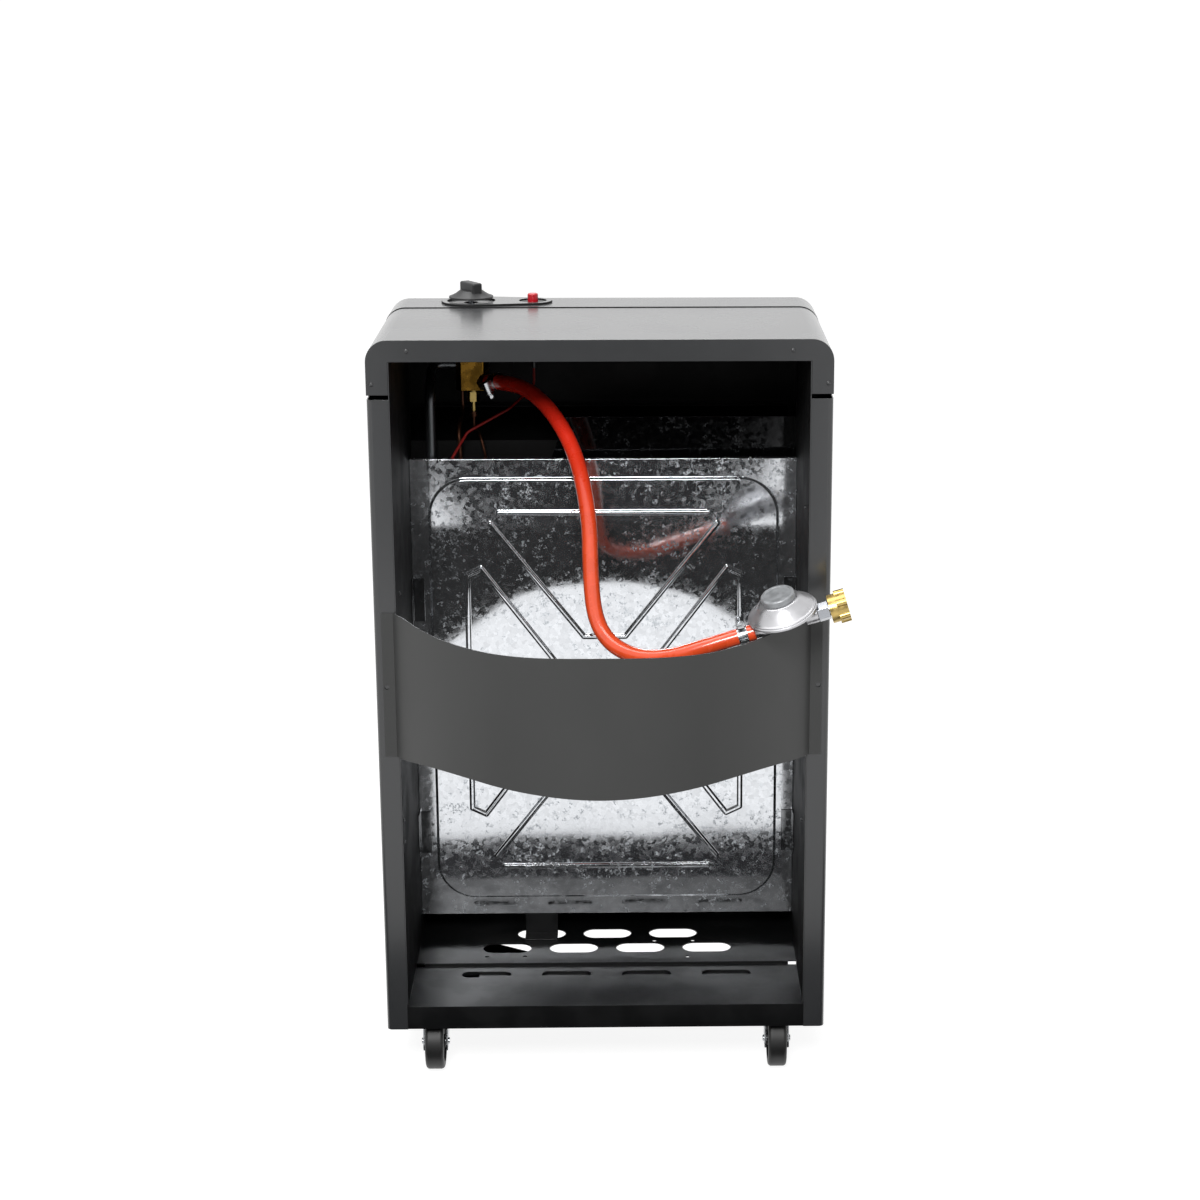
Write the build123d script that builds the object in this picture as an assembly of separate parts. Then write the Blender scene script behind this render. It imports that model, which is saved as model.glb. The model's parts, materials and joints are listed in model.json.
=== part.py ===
"""Portable gas cabinet heater, seen open from the rear, without its gas bottle.

Millimetres. Z is up, the floor is z = 0, the radiant front faces -Y and the open
rear faces +Y. X = 0 is the middle of the cabinet. Each sub-part is one node.
"""
import os
from math import atan2, cos, degrees, hypot, pi, radians, sin, tan

from build123d import *

# ---------------------------------------------------------------- cabinet sizes
WIDTH = 420.0            # over the side panels
TOP_Z = 720.0            # top of the hood
REAR_Y = 70.0            # plane of the rear posts
FRONT_Y = -198.0         # plane of the front flanges
SHEET = 1.0              # steel sheet
POST_WIDTH = 20.0        # rear flange of the side panels and of the hood
SHOULDER_RADIUS = 20.0   # rounded upper corners
CORNER_RADIUS = 5.0      # bent vertical corners of the side panels
HOOD_SKIRT_DOWN = 50.0       # lower edge of the hood's cheeks
POST_GAP = 4.0           # gap between the hood and the side panels
SKIRT_Z = 52.0           # lower edge of the side panels
RETURN_LIP = 12.0        # inward lip along the hood's rear flange
TONGUE = 24.0            # overlap tongue of a side panel inside the hood
LINER_FRONT_Y = -130.0   # front edge of the inner side walls
SEAM = 0.2               # gap between sheets that slide into each other

# ---------------------------------------------------------------- control panel
GROOVE_Y = -117.0        # middle of the groove between hood and control panel
GROOVE_WIDTH = 2.4
GROOVE_DEPTH = 3.0
FASCIA_DOWN = 110.0          # lower edge of the front fascia
PANEL_SHEET = 1.2
FRONT_ROUNDING = 22.0
FRONT_FLANGE = 26.0      # front flange of the side panels
JOGGLE = 9.0             # control panel's tongue below the hood

# ---------------------------------------------------------------- base
FLOOR_Z = 78.0           # top of the bottle floor
FLOOR_SHEET = 1.2
FLOOR_STEP_Y = -28.0     # line where the floor steps down
FLOOR_STEP = 3.0
SLOT_LENGTH = 48.7
SLOT_WIDTH = 24.0
SLOT_PITCH = 67.1
FRONT_ROW_Y = -101.0
MIDDLE_ROW_Y = -64.0
REAR_ROW_Y = -6.0
REAR_SLOT_WIDTH = 14.0
REAR_ROW_PITCH = 79.0
REAR_RECESS = 2.5         # the rear row is pressed down, not cut out
REAR_OPENING = 17.0       # open length at the outer end of its first recess
FOLD_RELIEF = (8.0, 3.0)  # slots at the two ends of the fold
FIXING_HOLE_D = 4.5
FIXING_HOLES = ((-48.0, -81.0), (-87.0, -81.0), (120.0, -43.0), (82.0, -43.0), (-81.0, -40.0))

# ---------------------------------------------------------------- front panel and guard
FRONT_PANEL_TOP_DOWN = 375.0
FRONT_PANEL_BOTTOM_Z = 56.0
FRONT_PANEL_RETURN = 14.0
LOUVRE_LENGTH = 46.0
LOUVRE_WIDTH = 6.0
LOUVRE_PITCH = 14.0
LOUVRE_ROWS = 6
GUARD_PROUD = 7.0        # guard in front of the flanges
GUARD_FRAME_D = 5.0
GUARD_WIRE_D = 3.0
GUARD_CROSS_D = 4.0
GUARD_WIRES = 15
GUARD_CROSS_WIRES = 3
GUARD_INSET = 16.0            # in from the cabinet's sides
GUARD_MARGIN = 10.0      # guard beyond the window, above and below

# ---------------------------------------------------------------- heat shield
SHIELD_Y = -99.5         # rear face, towards the bottle
SHIELD_SHEET = 1.0
SHIELD_GAP = 0.2              # to the liners
SHIELD_BOTTOM_Z = 101.0
SHIELD_TOP_DOWN = 145.0
SHIELD_TOP_FLANGE = 6.0
PANEL_MARGIN_X = 17.8         # pressed rounded rectangle, in from the shield's edges
PANEL_MARGIN_Z = 18.5
PANEL_CORNER = 38.0
PANEL_RISE = 2.4
BEAD_WIDTH = 5.0
BEAD_RISE = 1.7
BEAD_TAPER = 35.0
BAR_HALF_LENGTH = 103.0   # cross bars of the bead pattern
BAR_MARGIN = 34.5             # bars, in from the pressed rectangle
WING_HALF_WIDTH = 111.0   # upper and lower beads, wide end
BAR_TO_WING = 11.0
TIP_HALF_WIDTH = 20.5     # their narrow end
TIP_OFFSET = 58.0
SIDE_OUTER_X = 134.5      # left and right triangles
SIDE_SHOULDER_X = 121.0
SIDE_OUTER_OFFSET = 121.5
SIDE_TIP_OFFSET = 128.0
SIDE_INNER_X = 31.0
SIDE_INNER_OFFSET = 8.0
FOOT_X = 67.0
FOOT_WIDTH = 33.0
FOOT_LENGTH = 17.0
FOOT_SHEET = 1.2
FOOT_LAP = 17.0
BRACKET_SHEET = 1.2
BRACKET_LEG = 12.0
BRACKET_HEIGHT = 44.0
BRACKET_CENTRES = (434.0, 190.0)

# ---------------------------------------------------------------- retaining band
BAND_TOP_Z = 467.7
BAND_BOTTOM_Z = 329.5
BAND_INSET = 7.0              # in from the cabinet's sides
BAND_TAB = 11.0               # flat tab at each end; the bow begins beside it
BAND_DEPTH = 136.0        # bow behind the posts
BAND_SHEET = 1.5
BAND_ARC_SHARE = 0.86     # radius of the bow's middle arc, as a share of its half width
BAND_ARC_TURN = 40.0      # degrees of that arc each way; flatter arcs join it to the tabs
BAND_EASE = 20.0          # length in which an edge eases in beside the tab
BAND_EASE_SHARE = 0.72    # of its dip
BAND_TOP_DIP = 4.5        # the edges draw together in the middle
BAND_BOTTOM_RISE = 3.5
HOOK_INSET = 3.6              # in from the band's ends
HOOK_HEIGHT = 16.0
HOOK_DEPTH = 9.0
HOOK_CENTRES = (437.0, 360.0)
HOOK_CLEARANCE = 0.5
PEEP_HOLE_D = 5.0         # small round hole in each band tab
PEEP_HOLE_Z = 397.0

# ---------------------------------------------------------------- burner
BURNER_BACK_Y = -128.0    # rear face of the burner's back plate
BACK_PLATE_BOTTOM_DOWN = 370.0
BACK_PLATE_TOP_DOWN = 132.0
DEFLECTOR_TOP_DOWN = 109.0   # bright deflector sheet on the back plate
DEFLECTOR_BOTTOM_DOWN = 180.0
DEFLECTOR_TOP_X = 37.0
DEFLECTOR_BOTTOM_X = 62.0
HEAD_GAP = 12.0               # between two heads
HEAD_HEIGHT = 180.0
HEAD_DEPTH = 41.0
HEAD_MARGIN = 16.0            # from the outer heads' half pitch to the window's edge
HEAD_BOTTOM_DOWN = 335.0
HEAD_WALL = 3.5
PLAQUE_THICKNESS = 13.0
PLAQUE_CLEARANCE = 0.3
NECK_D = 22.0
NECK_BORE_D = 16.0
NECK_BOTTOM_DOWN = 374.0
PIPE_ROW_Y = -150.0       # manifold, necks and valve stand in this plane
MANIFOLD_D = 12.0
MANIFOLD_DOWN = 392.0
MANIFOLD_TAB = (10.0, 2.0)   # width and thickness of its two welded tabs
INJECTOR_D = 8.0
REFLECTOR_REAR_DOWN = 140.0  # the upper reflector climbs from here to the fascia
REFLECTOR_FRONT_Y = -191.0
REFLECTOR_BOTTOM_DOWN = 367.0
REFLECTOR_UPSTAND = 31.0  # hides the venturi necks

# ---------------------------------------------------------------- pilot unit
PILOT_TAB_DOWN = 352.8
PILOT_TAB_FRONT_Y = -186.0
PILOT_LEG_Y = -171.2
PILOT_PITCH = 12.0
PILOT_OFFSET = 4.0            # beyond the gap between two heads
PILOT_ROW_Y = -178.0
PILOT_NOZZLE_D = 8.0
PILOT_NOZZLE_TOP_DOWN = 332.0
PILOT_HALF_WIDTH = 18.0   # of its bracket
PILOT_NOTCH = 4.0         # the jet's crosswise air slot
PILOT_JET_LENGTH = 9.0    # jet and electrode below the bracket
PILOT_PIPE_D = 4.0
LEAD_D = 3.0
IGNITION_LEAD_D = 2.6
ELECTRODE_D = 5.0
ELECTRODE_ROD_D = 1.8
ELECTRODE_SHOULDER = 6.0  # below the jet's top
ELECTRODE_TIP = 4.0       # above the jet's top
LINES_UNDER = 9.0         # the three lines pass below the back plate
LINES_TURN = 30.0         # and straighten this high above its lower edge
THERMOCOUPLE_FALL = 7.0   # behind the back plate
THERMOCOUPLE_OVER = 8.0   # above the back plate
THERMOCOUPLE_ROUTE = ((-8.0, 7.0), (-14.0, -22.0), (-26.0, -92.0))   # x from the knob, z from the plate's top
PILOT_OUTLET = (11.0, -5.0)                                          # x and y from the knob
PILOT_PIPE_FALL = 13.0
PILOT_PIPE_OVER = 22.0
PILOT_PIPE_ROUTE = ((2.0, 16.0), (0.0, -24.0), (-16.0, -114.0))      # x from the outlet, z as above
IGNITION_DROP = 18.0      # straight below the terminal
IGNITION_GAP = 2.5        # to the shield's top flange
IGNITION_SET = 14.0       # its first bend stands this far in front of its fall
IGNITION_ROUTE = ((24.0, -36.0), (64.0, -56.0), (82.0, -86.0), (78.0, -150.0))   # from the terminal

# ---------------------------------------------------------------- knob and valve
KNOB_INSET = 82.0             # in from the cabinet's side
KNOB_Y = PIPE_ROW_Y
VALVE_BLOCK = 32.0
VALVE_CHAMFER = 5.0
VALVE_BOTTOM_DOWN = 84.0
VALVE_TOP_DOWN = 30.0
VALVE_NECK_D = 14.0
VALVE_NECK_TOP_DOWN = 14.0
PLUG_D = 12.0
PLUG_TOP_DOWN = 38.0
PLUG_BOTTOM_DOWN = 68.0
SPINDLE_D = 6.0
SPINDLE_BOTTOM_DOWN = 52.0
SPINDLE_TOP_UP = 16.0
RUNNING_CLEARANCE = 0.05  # radial
KNOB_TRAVEL = 4.5
KNOB_SKIRT_D = 43.0
KNOB_SHOULDER_D = 23.0
KNOB_BOTTOM_UP = 5.3
KNOB_RIM = 1.6
KNOB_HOLLOW = 0.38        # share of the rise at half the slope
KNOB_SHOULDER_UP = 12.5
KNOB_TOP_UP = 20.5
GRIP_LENGTH = 22.0
GRIP_WIDTH = 9.5
GRIP_TURN = 33.0          # degrees, the knob's off position
GRIP_SINK = 2.0           # the grip starts this far above the rim
GRIP_END_RADIUS = 5.0
GRIP_EDGE_RADIUS = 1.5
BRACKET_PLATE = 1.5
BRACKET_LEG_DROP = 30.0   # its front leg below the hood's skirt
MAGNET_NECK_D = 9.0
MAGNET_HEX = 11.0
MAGNET_HEX_TOP_DOWN = 87.0
MAGNET_HEX_BOTTOM_DOWN = 97.0
MAGNET_STUD_D = 5.0
THERMOCOUPLE_NUT_D = 8.0
THERMOCOUPLE_NUT_TOP_DOWN = 107.0
THERMOCOUPLE_NUT_BOTTOM_DOWN = 112.0
FEED_PIPE_D = 10.0
FEED_DOWN = 60.0
FEED_INSET = 42.0             # in from the cabinet's side
FEED_Y = -114.0
FEED_FALL = 24.0          # it reaches its upright run this far below the outlet
FEED_RISE = 20.0          # and leaves it this far above the manifold

# ---------------------------------------------------------------- igniter
CONTROL_PITCH = 60.0          # knob to igniter
IGNITER_BODY_D = 16.0
IGNITER_FLANGE_D = 24.0
IGNITER_FLANGE = 1.5
IGNITER_BOTTOM_DOWN = 52.0
IGNITER_NUT_HEX = 22.0
IGNITER_NUT_HEIGHT = 4.8
IGNITER_TERMINAL_D = 5.0
IGNITER_TERMINAL_DOWN = 64.0
BUTTON_D = 10.4
BUTTON_TOP_UP = 9.5
BUTTON_BOTTOM_DOWN = 18.0
BUTTON_TRAVEL = 6.0
BUTTON_CHAMFER = 1.0
ESCUTCHEON_THICKNESS = 2.6
ESCUTCHEON_CHAMFER = 0.6
ESCUTCHEON_KNOB_D = 58.0
ESCUTCHEON_KNOB_HOLE_D = 47.0
ESCUTCHEON_BUTTON_D = 38.0
ESCUTCHEON_BUTTON_HOLE_D = 27.0

# ---------------------------------------------------------------- hose and regulator
HOSE_D = 15.0
HOSE_BORE_D = 8.0
HOSE_AT_VALVE = (                # from the middle of the valve's underside
    (-16, 17, 9), (-41, 41, 14), (-74, 78, 1), (-103, 115, -39),
)
HOSE_IN_BAY = (
    (12, 4, 543), (11, 40, 494), (7, 68, 460), (-8, 92, 442), (-34, 110, 435), (-64, 119, 439),
    (-94, 122, 449.6), (-138, 122, 463),
)
BARB_D = 7.9
BARB_LENGTH = 22.0
TAIL_HEX = 15.0
TAIL_HEX_LENGTH = 8.0
CLIP_BAND_WIDTH = 9.0
CLIP_BAND = 0.9
CLIP_BOX = (7.0, 9.0, 13.0)     # the screw housing, along the hose, out and across
UPPER_CLIP_SETBACK = 11.0       # clip centres, back from the hose's ends
LOWER_CLIP_SETBACK = 11.0
UPPER_CLIP_TURN = 200.0          # degrees round the hose
LOWER_CLIP_TURN = 60.0
CLIP_SCREW_D = 6.4
CLIP_SCREW_LENGTH = 5.0
CLIP_CHAMFER = 2.0
REGULATOR_LEAN = 14.0           # degrees that its dome leans towards the rear
REGULATOR_BODY_D = 13.0
REGULATOR_LINE_DROP = 12.0      # pipe line below the diaphragm rim
REGULATOR_RIM_D = 64.0
REGULATOR_RIM = 4.6
REGULATOR_PAN_D = 50.0
REGULATOR_PAN = 4.5
REGULATOR_DOME_D = 58.0
REGULATOR_DOME_TOP_D = 34.0
REGULATOR_DOME = 11.0
REGULATOR_REACH = 29.0          # hose end to the dome's axis along the pipe line
INLET_BOSS_D = 16.0
INLET_BOSS_LENGTH = 13.0
CAP_D = 31.0
CAP_HEIGHT = 6.0
CAP_CHAMFER = 1.2
CAP_RING = 3.0
CAP_DISH = 0.8
STEM_START = 30.0               # from the dome's axis along the pipe line
STEM_HEX = 15.0
STEM_HEX_LENGTH = 10.5
STEM_SHAFT_D = 12.0
STEM_SHAFT_LENGTH = 5.5
STEM_COLLAR_D = 17.0
STEM_COLLAR_LENGTH = 2.5
WHEEL_NUT_D = 26.0
WHEEL_NUT_LENGTH = 16.5
WHEEL_NUT_LOBES = 6
WHEEL_NUT_LOBE_D = 7.0
WHEEL_NUT_LOBE_LENGTH = 9.5
WHEEL_NUT_LOBE_REACH = 15.6     # from the axis
WHEEL_NUT_BORE_D = 21.8
WHEEL_NUT_FLOOR = 4.5
WHEEL_NUT_RUN = 0.3             # axial gap behind the stem's collar

# ---------------------------------------------------------------- castors
CASTOR_INSET = 44.0           # in from the cabinet's sides
CASTOR_FRONT_Y = -145.0
CASTOR_REAR_Y = 20.0
CASTOR_WHEEL_D = 54.0
CASTOR_WHEEL_WIDTH = 18.0
CASTOR_TRAIL = 22.0
CASTOR_PLATE = 46.0
CASTOR_PLATE_THICKNESS = 2.2
CASTOR_PLATE_CORNER = 4.0
CASTOR_CUP_D = 30.0
CASTOR_PIN_D = 8.0
CASTOR_PIN_HEAD_D = 14.0
CASTOR_PIN_HEAD = 2.2
CASTOR_CROWN = 2.5
CASTOR_CROWN_GAP = 9.8          # wheel to crown
CASTOR_LEG = 2.0
CASTOR_SIDE_GAP = 1.0
CASTOR_AXLE_D = 6.0
CASTOR_AXLE_STUB = 1.5          # rivet heads outside the legs
CASTOR_TREAD_RADIUS = 3.5
CASTOR_RIM = 7.0                # tread ring round the recessed web
CASTOR_RECESS = 2.0
CASTOR_NOSE_DROP = 8.0          # the leg's front edge below the crown
CASTOR_CROWN_SHARE = 0.75       # of the trail, covered by the crown
CASTOR_RUN = 0.3                # axial gap at the swivel
BOLT_PITCH = 34.0
BOLT_D = 5.0
BOLT_HEAD_D = 9.0
BOLT_HEAD = 3.0

# ---------------------------------------------------------------- small screws
SCREW_D = 4.6
SCREW_HEAD = 1.4
HOOD_SCREW_INSET = 37.0
CHEEK_SCREW_DOWN = 40.0
LEFT_LINER_SCREWS = ((35.0, 477.0), (33.0, 453.0), (63.0, 263.0), (62.0, 241.0))   # y and z
RIGHT_LINER_SCREWS = ((29.0, 556.0), (35.0, 251.0))

# ---------------------------------------------------------------- cutters
CUT = 1.0                # how far a cutter runs past the face it cuts

# ---------------------------------------------------------------- worked out
HALF = WIDTH / 2
INNER = HALF - SHEET                      # inner face of the outer skin
OPENING_X = HALF - POST_WIDTH             # inner edge of the posts
LINER_X = OPENING_X - SHEET               # inner face of the liners
FRONT_OPENING_X = HALF - FRONT_FLANGE
SHIELD_HALF_WIDTH = LINER_X - SHIELD_GAP
PANEL_HALF_WIDTH = SHIELD_HALF_WIDTH - PANEL_MARGIN_X
GUARD_HALF_WIDTH = HALF - GUARD_INSET
BAND_HALF_WIDTH = HALF - BAND_INSET
BAND_TAB_X = BAND_HALF_WIDTH - BAND_TAB
HOOK_X = BAND_HALF_WIDTH - HOOK_INSET
HEAD_PITCH = 2 * (FRONT_OPENING_X - HEAD_MARGIN) / 3
HEAD_WIDTH = HEAD_PITCH - HEAD_GAP
REFLECTOR_HALF_WIDTH = FRONT_OPENING_X
PILOT_X = HEAD_PITCH / 2 + PILOT_OFFSET
KNOB_X = HALF - KNOB_INSET
IGNITER_X = KNOB_X - CONTROL_PITCH
FEED_X = HALF - FEED_INSET
CASTOR_X = HALF - CASTOR_INSET
HOOD_SCREW_X = HALF - HOOD_SCREW_INSET

HOOD_SKIRT_Z = TOP_Z - HOOD_SKIRT_DOWN
FASCIA_Z = TOP_Z - FASCIA_DOWN
FRONT_PANEL_TOP_Z = TOP_Z - FRONT_PANEL_TOP_DOWN
SHIELD_TOP_Z = TOP_Z - SHIELD_TOP_DOWN
BACK_PLATE_BOTTOM_Z = TOP_Z - BACK_PLATE_BOTTOM_DOWN
BACK_PLATE_TOP_Z = TOP_Z - BACK_PLATE_TOP_DOWN
DEFLECTOR_TOP_Z = TOP_Z - DEFLECTOR_TOP_DOWN
DEFLECTOR_BOTTOM_Z = TOP_Z - DEFLECTOR_BOTTOM_DOWN
HEAD_BOTTOM_Z = TOP_Z - HEAD_BOTTOM_DOWN
NECK_BOTTOM_Z = TOP_Z - NECK_BOTTOM_DOWN
MANIFOLD_Z = TOP_Z - MANIFOLD_DOWN
REFLECTOR_REAR_Z = TOP_Z - REFLECTOR_REAR_DOWN
REFLECTOR_BOTTOM_Z = TOP_Z - REFLECTOR_BOTTOM_DOWN
PILOT_TAB_Z = TOP_Z - PILOT_TAB_DOWN
PILOT_NOZZLE_TOP_Z = TOP_Z - PILOT_NOZZLE_TOP_DOWN
VALVE_TOP_Z = TOP_Z - VALVE_TOP_DOWN
VALVE_NECK_TOP_Z = TOP_Z - VALVE_NECK_TOP_DOWN
PLUG_TOP_Z = TOP_Z - PLUG_TOP_DOWN
PLUG_BOTTOM_Z = TOP_Z - PLUG_BOTTOM_DOWN
SPINDLE_BOTTOM_Z = TOP_Z - SPINDLE_BOTTOM_DOWN
SPINDLE_TOP_Z = TOP_Z + SPINDLE_TOP_UP
KNOB_BOTTOM_Z = TOP_Z + KNOB_BOTTOM_UP
KNOB_SHOULDER_Z = TOP_Z + KNOB_SHOULDER_UP
KNOB_TOP_Z = TOP_Z + KNOB_TOP_UP
MAGNET_HEX_TOP_Z = TOP_Z - MAGNET_HEX_TOP_DOWN
MAGNET_HEX_BOTTOM_Z = TOP_Z - MAGNET_HEX_BOTTOM_DOWN
THERMOCOUPLE_NUT_TOP_Z = TOP_Z - THERMOCOUPLE_NUT_TOP_DOWN
THERMOCOUPLE_NUT_BOTTOM_Z = TOP_Z - THERMOCOUPLE_NUT_BOTTOM_DOWN
FEED_Z = TOP_Z - FEED_DOWN
IGNITER_BOTTOM_Z = TOP_Z - IGNITER_BOTTOM_DOWN
IGNITER_TERMINAL_Z = TOP_Z - IGNITER_TERMINAL_DOWN
BUTTON_TOP_Z = TOP_Z + BUTTON_TOP_UP
BUTTON_BOTTOM_Z = TOP_Z - BUTTON_BOTTOM_DOWN
CHEEK_SCREW_Z = TOP_Z - CHEEK_SCREW_DOWN
VALVE_BOTTOM_Z = TOP_Z - VALVE_BOTTOM_DOWN
SIDE_TOP_Z = HOOD_SKIRT_Z - POST_GAP
FLOOR_UNDER_Z = FLOOR_Z - FLOOR_SHEET
PANEL_HALF_HEIGHT = (SHIELD_TOP_Z - SHIELD_BOTTOM_Z) / 2 - PANEL_MARGIN_Z
BAR_OFFSET = PANEL_HALF_HEIGHT - BAR_MARGIN
WING_OFFSET = BAR_OFFSET - BAR_TO_WING

HOOD_FRONT_Y = GROOVE_Y + GROOVE_WIDTH / 2
PANEL_REAR_Y = GROOVE_Y - GROOVE_WIDTH / 2
PATTERN_Z = (SHIELD_BOTTOM_Z + SHIELD_TOP_Z) / 2
PLATE_FRONT_Y = BURNER_BACK_Y - SHEET
HEAD_FRONT_Y = PLATE_FRONT_Y - HEAD_DEPTH
CASTOR_AXLE_Z = CASTOR_WHEEL_D / 2


def block(x0, x1, y0, y1, z0, z1):
    """A box between three pairs of limits."""
    middle = ((x0 + x1) / 2, (y0 + y1) / 2, (z0 + z1) / 2)
    return Pos(*middle) * Box(abs(x1 - x0), abs(y1 - y0), abs(z1 - z0))


def post(x, y, z0, z1, diameter):
    """An upright cylinder."""
    return Pos(x, y, (z0 + z1) / 2) * Cylinder(diameter / 2, z1 - z0)


def rod_x(x0, x1, y, z, diameter):
    """A cylinder along X."""
    return Pos((x0 + x1) / 2, y, z) * Rot(0, 90, 0) * Cylinder(diameter / 2, abs(x1 - x0))


def rod_y(x, y0, y1, z, diameter):
    """A cylinder along Y."""
    return Pos(x, (y0 + y1) / 2, z) * Rot(90, 0, 0) * Cylinder(diameter / 2, abs(y1 - y0))


def along(origin, direction, across=None):
    """A location whose Z axis points in a direction."""
    plane = Plane(origin=origin, x_dir=across, z_dir=direction)
    return plane.location


def edges_at(shape, axis, **where):
    """Edges parallel to an axis whose middle lies at the named coordinates."""
    found = shape.edges().filter_by(axis)
    for name, value in where.items():
        found = [e for e in found if abs(getattr(e.center(), name) - value) < 1e-4]
    return found


def mirrored(shape):
    return mirror(shape, Plane.YZ)


def save(shape, node):
    export_step(shape, f"parts/{node}.step")


# ---------------------------------------------------------------- cabinet skin
def arch(inset, y0, y1, z0):
    """A solid with the hood's outline, drawn in by an inset, from y0 to y1."""
    side = HALF - inset
    top = TOP_Z - inset
    solid = block(-side, side, y0, y1, z0, top)
    rims = edges_at(solid, Axis.Y, X=side, Z=top) + edges_at(solid, Axis.Y, X=-side, Z=top)
    return fillet(rims, SHOULDER_RADIUS - inset)


def hood():
    skin = arch(0, HOOD_FRONT_Y, REAR_Y, HOOD_SKIRT_Z)
    skin -= arch(SHEET, HOOD_FRONT_Y - CUT, REAR_Y - SHEET, HOOD_SKIRT_Z - CUT)
    header_z = TOP_Z - POST_WIDTH
    skin -= block(
        -OPENING_X, OPENING_X, REAR_Y - 2 * SHEET, REAR_Y + CUT, HOOD_SKIRT_Z - CUT, header_z,
    )
    lip = block(-OPENING_X, OPENING_X, REAR_Y - RETURN_LIP, REAR_Y, header_z, header_z + SHEET)
    return skin + lip


def control_panel_solid(inset, rear_y, bottom_z):
    side = HALF - inset
    top = TOP_Z - inset
    front = FRONT_Y + inset
    solid = block(-side, side, front, rear_y, bottom_z, top)
    solid = fillet(edges_at(solid, Axis.X, Y=front, Z=top), FRONT_ROUNDING - inset)
    sides = [
        e for e in solid.edges()
        if abs(abs(e.center().X) - side) < 1e-4 and e.center().Z > bottom_z + SHOULDER_RADIUS
        and e.bounding_box().min.Z > top - FRONT_ROUNDING - CUT and e.center().Y < rear_y - CUT
    ]
    return fillet(sides, SHOULDER_RADIUS - inset)


def groove_ring(outer, inner, y0, y1):
    """The hood's outline between two insets, from y0 to y1."""
    ring = arch(outer, y0, y1, HOOD_SKIRT_Z)
    return ring - arch(inner, y0 - CUT, y1 + CUT, HOOD_SKIRT_Z - CUT)


def control_panel():
    """Front shell with a sunk groove at its rear edge and a tongue below the hood."""
    shell = control_panel_solid(0, PANEL_REAR_Y, HOOD_SKIRT_Z)
    shell -= control_panel_solid(PANEL_SHEET, PANEL_REAR_Y + CUT, HOOD_SKIRT_Z - CUT)
    under = SHEET + SEAM
    tongue = groove_ring(under, under + SHEET, PANEL_REAR_Y - SHEET, PANEL_REAR_Y + JOGGLE)
    tongue += groove_ring(under, GROOVE_DEPTH + SHEET, PANEL_REAR_Y - SHEET, HOOD_FRONT_Y + SHEET)
    tongue -= groove_ring(0, GROOVE_DEPTH, PANEL_REAR_Y, HOOD_FRONT_Y)
    fascia_x = FRONT_OPENING_X - SEAM
    fascia = block(-fascia_x, fascia_x, FRONT_Y, FRONT_Y + PANEL_SHEET, FASCIA_Z, HOOD_SKIRT_Z)
    lip = block(-fascia_x, fascia_x, FRONT_Y, FRONT_Y + RETURN_LIP, FASCIA_Z, FASCIA_Z + PANEL_SHEET)
    panel = shell + tongue + fascia + lip
    under_z = TOP_Z - PANEL_SHEET - CUT
    panel -= post(KNOB_X, KNOB_Y, under_z, TOP_Z + CUT, VALVE_NECK_D)
    panel -= post(IGNITER_X, KNOB_Y, under_z, TOP_Z + CUT, IGNITER_BODY_D + 4 * SEAM)
    return panel


def side_panel():
    """The side panel at +X: outer skin, rear post flange, front flange and upper tongue."""
    front_x = FRONT_OPENING_X
    skin = block(front_x, HALF, FRONT_Y, REAR_Y, SKIRT_Z, SIDE_TOP_Z)
    rims = edges_at(skin, Axis.Z, X=HALF, Y=FRONT_Y) + edges_at(skin, Axis.Z, X=HALF, Y=REAR_Y)
    skin = fillet(rims, CORNER_RADIUS)
    z0 = SKIRT_Z - CUT
    z1 = SIDE_TOP_Z + CUT
    core = block(front_x - CUT, INNER, FRONT_Y + SHEET, REAR_Y - SHEET, z0, z1)
    rims = edges_at(core, Axis.Z, X=INNER, Y=FRONT_Y + SHEET)
    rims += edges_at(core, Axis.Z, X=INNER, Y=REAR_Y - SHEET)
    skin -= fillet(rims, CORNER_RADIUS - SHEET)
    skin -= block(front_x - CUT, OPENING_X, REAR_Y - 2 * SHEET, REAR_Y + CUT, z0, z1)
    tongue_y0 = PANEL_REAR_Y + 2 * JOGGLE
    skin += block(
        INNER - SHEET, INNER, tongue_y0, REAR_Y - RETURN_LIP, SIDE_TOP_Z - TONGUE, SIDE_TOP_Z + TONGUE,
    )
    for z in HOOK_CENTRES:
        half = HOOK_HEIGHT / 2 + HOOK_CLEARANCE
        gap = BAND_SHEET / 2 + HOOK_CLEARANCE
        skin -= block(HOOK_X - gap, HOOK_X + gap, REAR_Y - 2 * SHEET, REAR_Y + CUT, z - half, z + half)
    return skin


def liner():
    """The inner side wall at +X, from the rear post to the burner's back plate."""
    return block(LINER_X, OPENING_X, LINER_FRONT_Y, REAR_Y, FLOOR_Z, TOP_Z - POST_WIDTH)


# ---------------------------------------------------------------- base
def obround(x, y, length, width, z0, z1):
    """An upright solid with a slot's outline."""
    return Pos(x, y, z0) * extrude(SlotOverall(length, width), z1 - z0)


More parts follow.
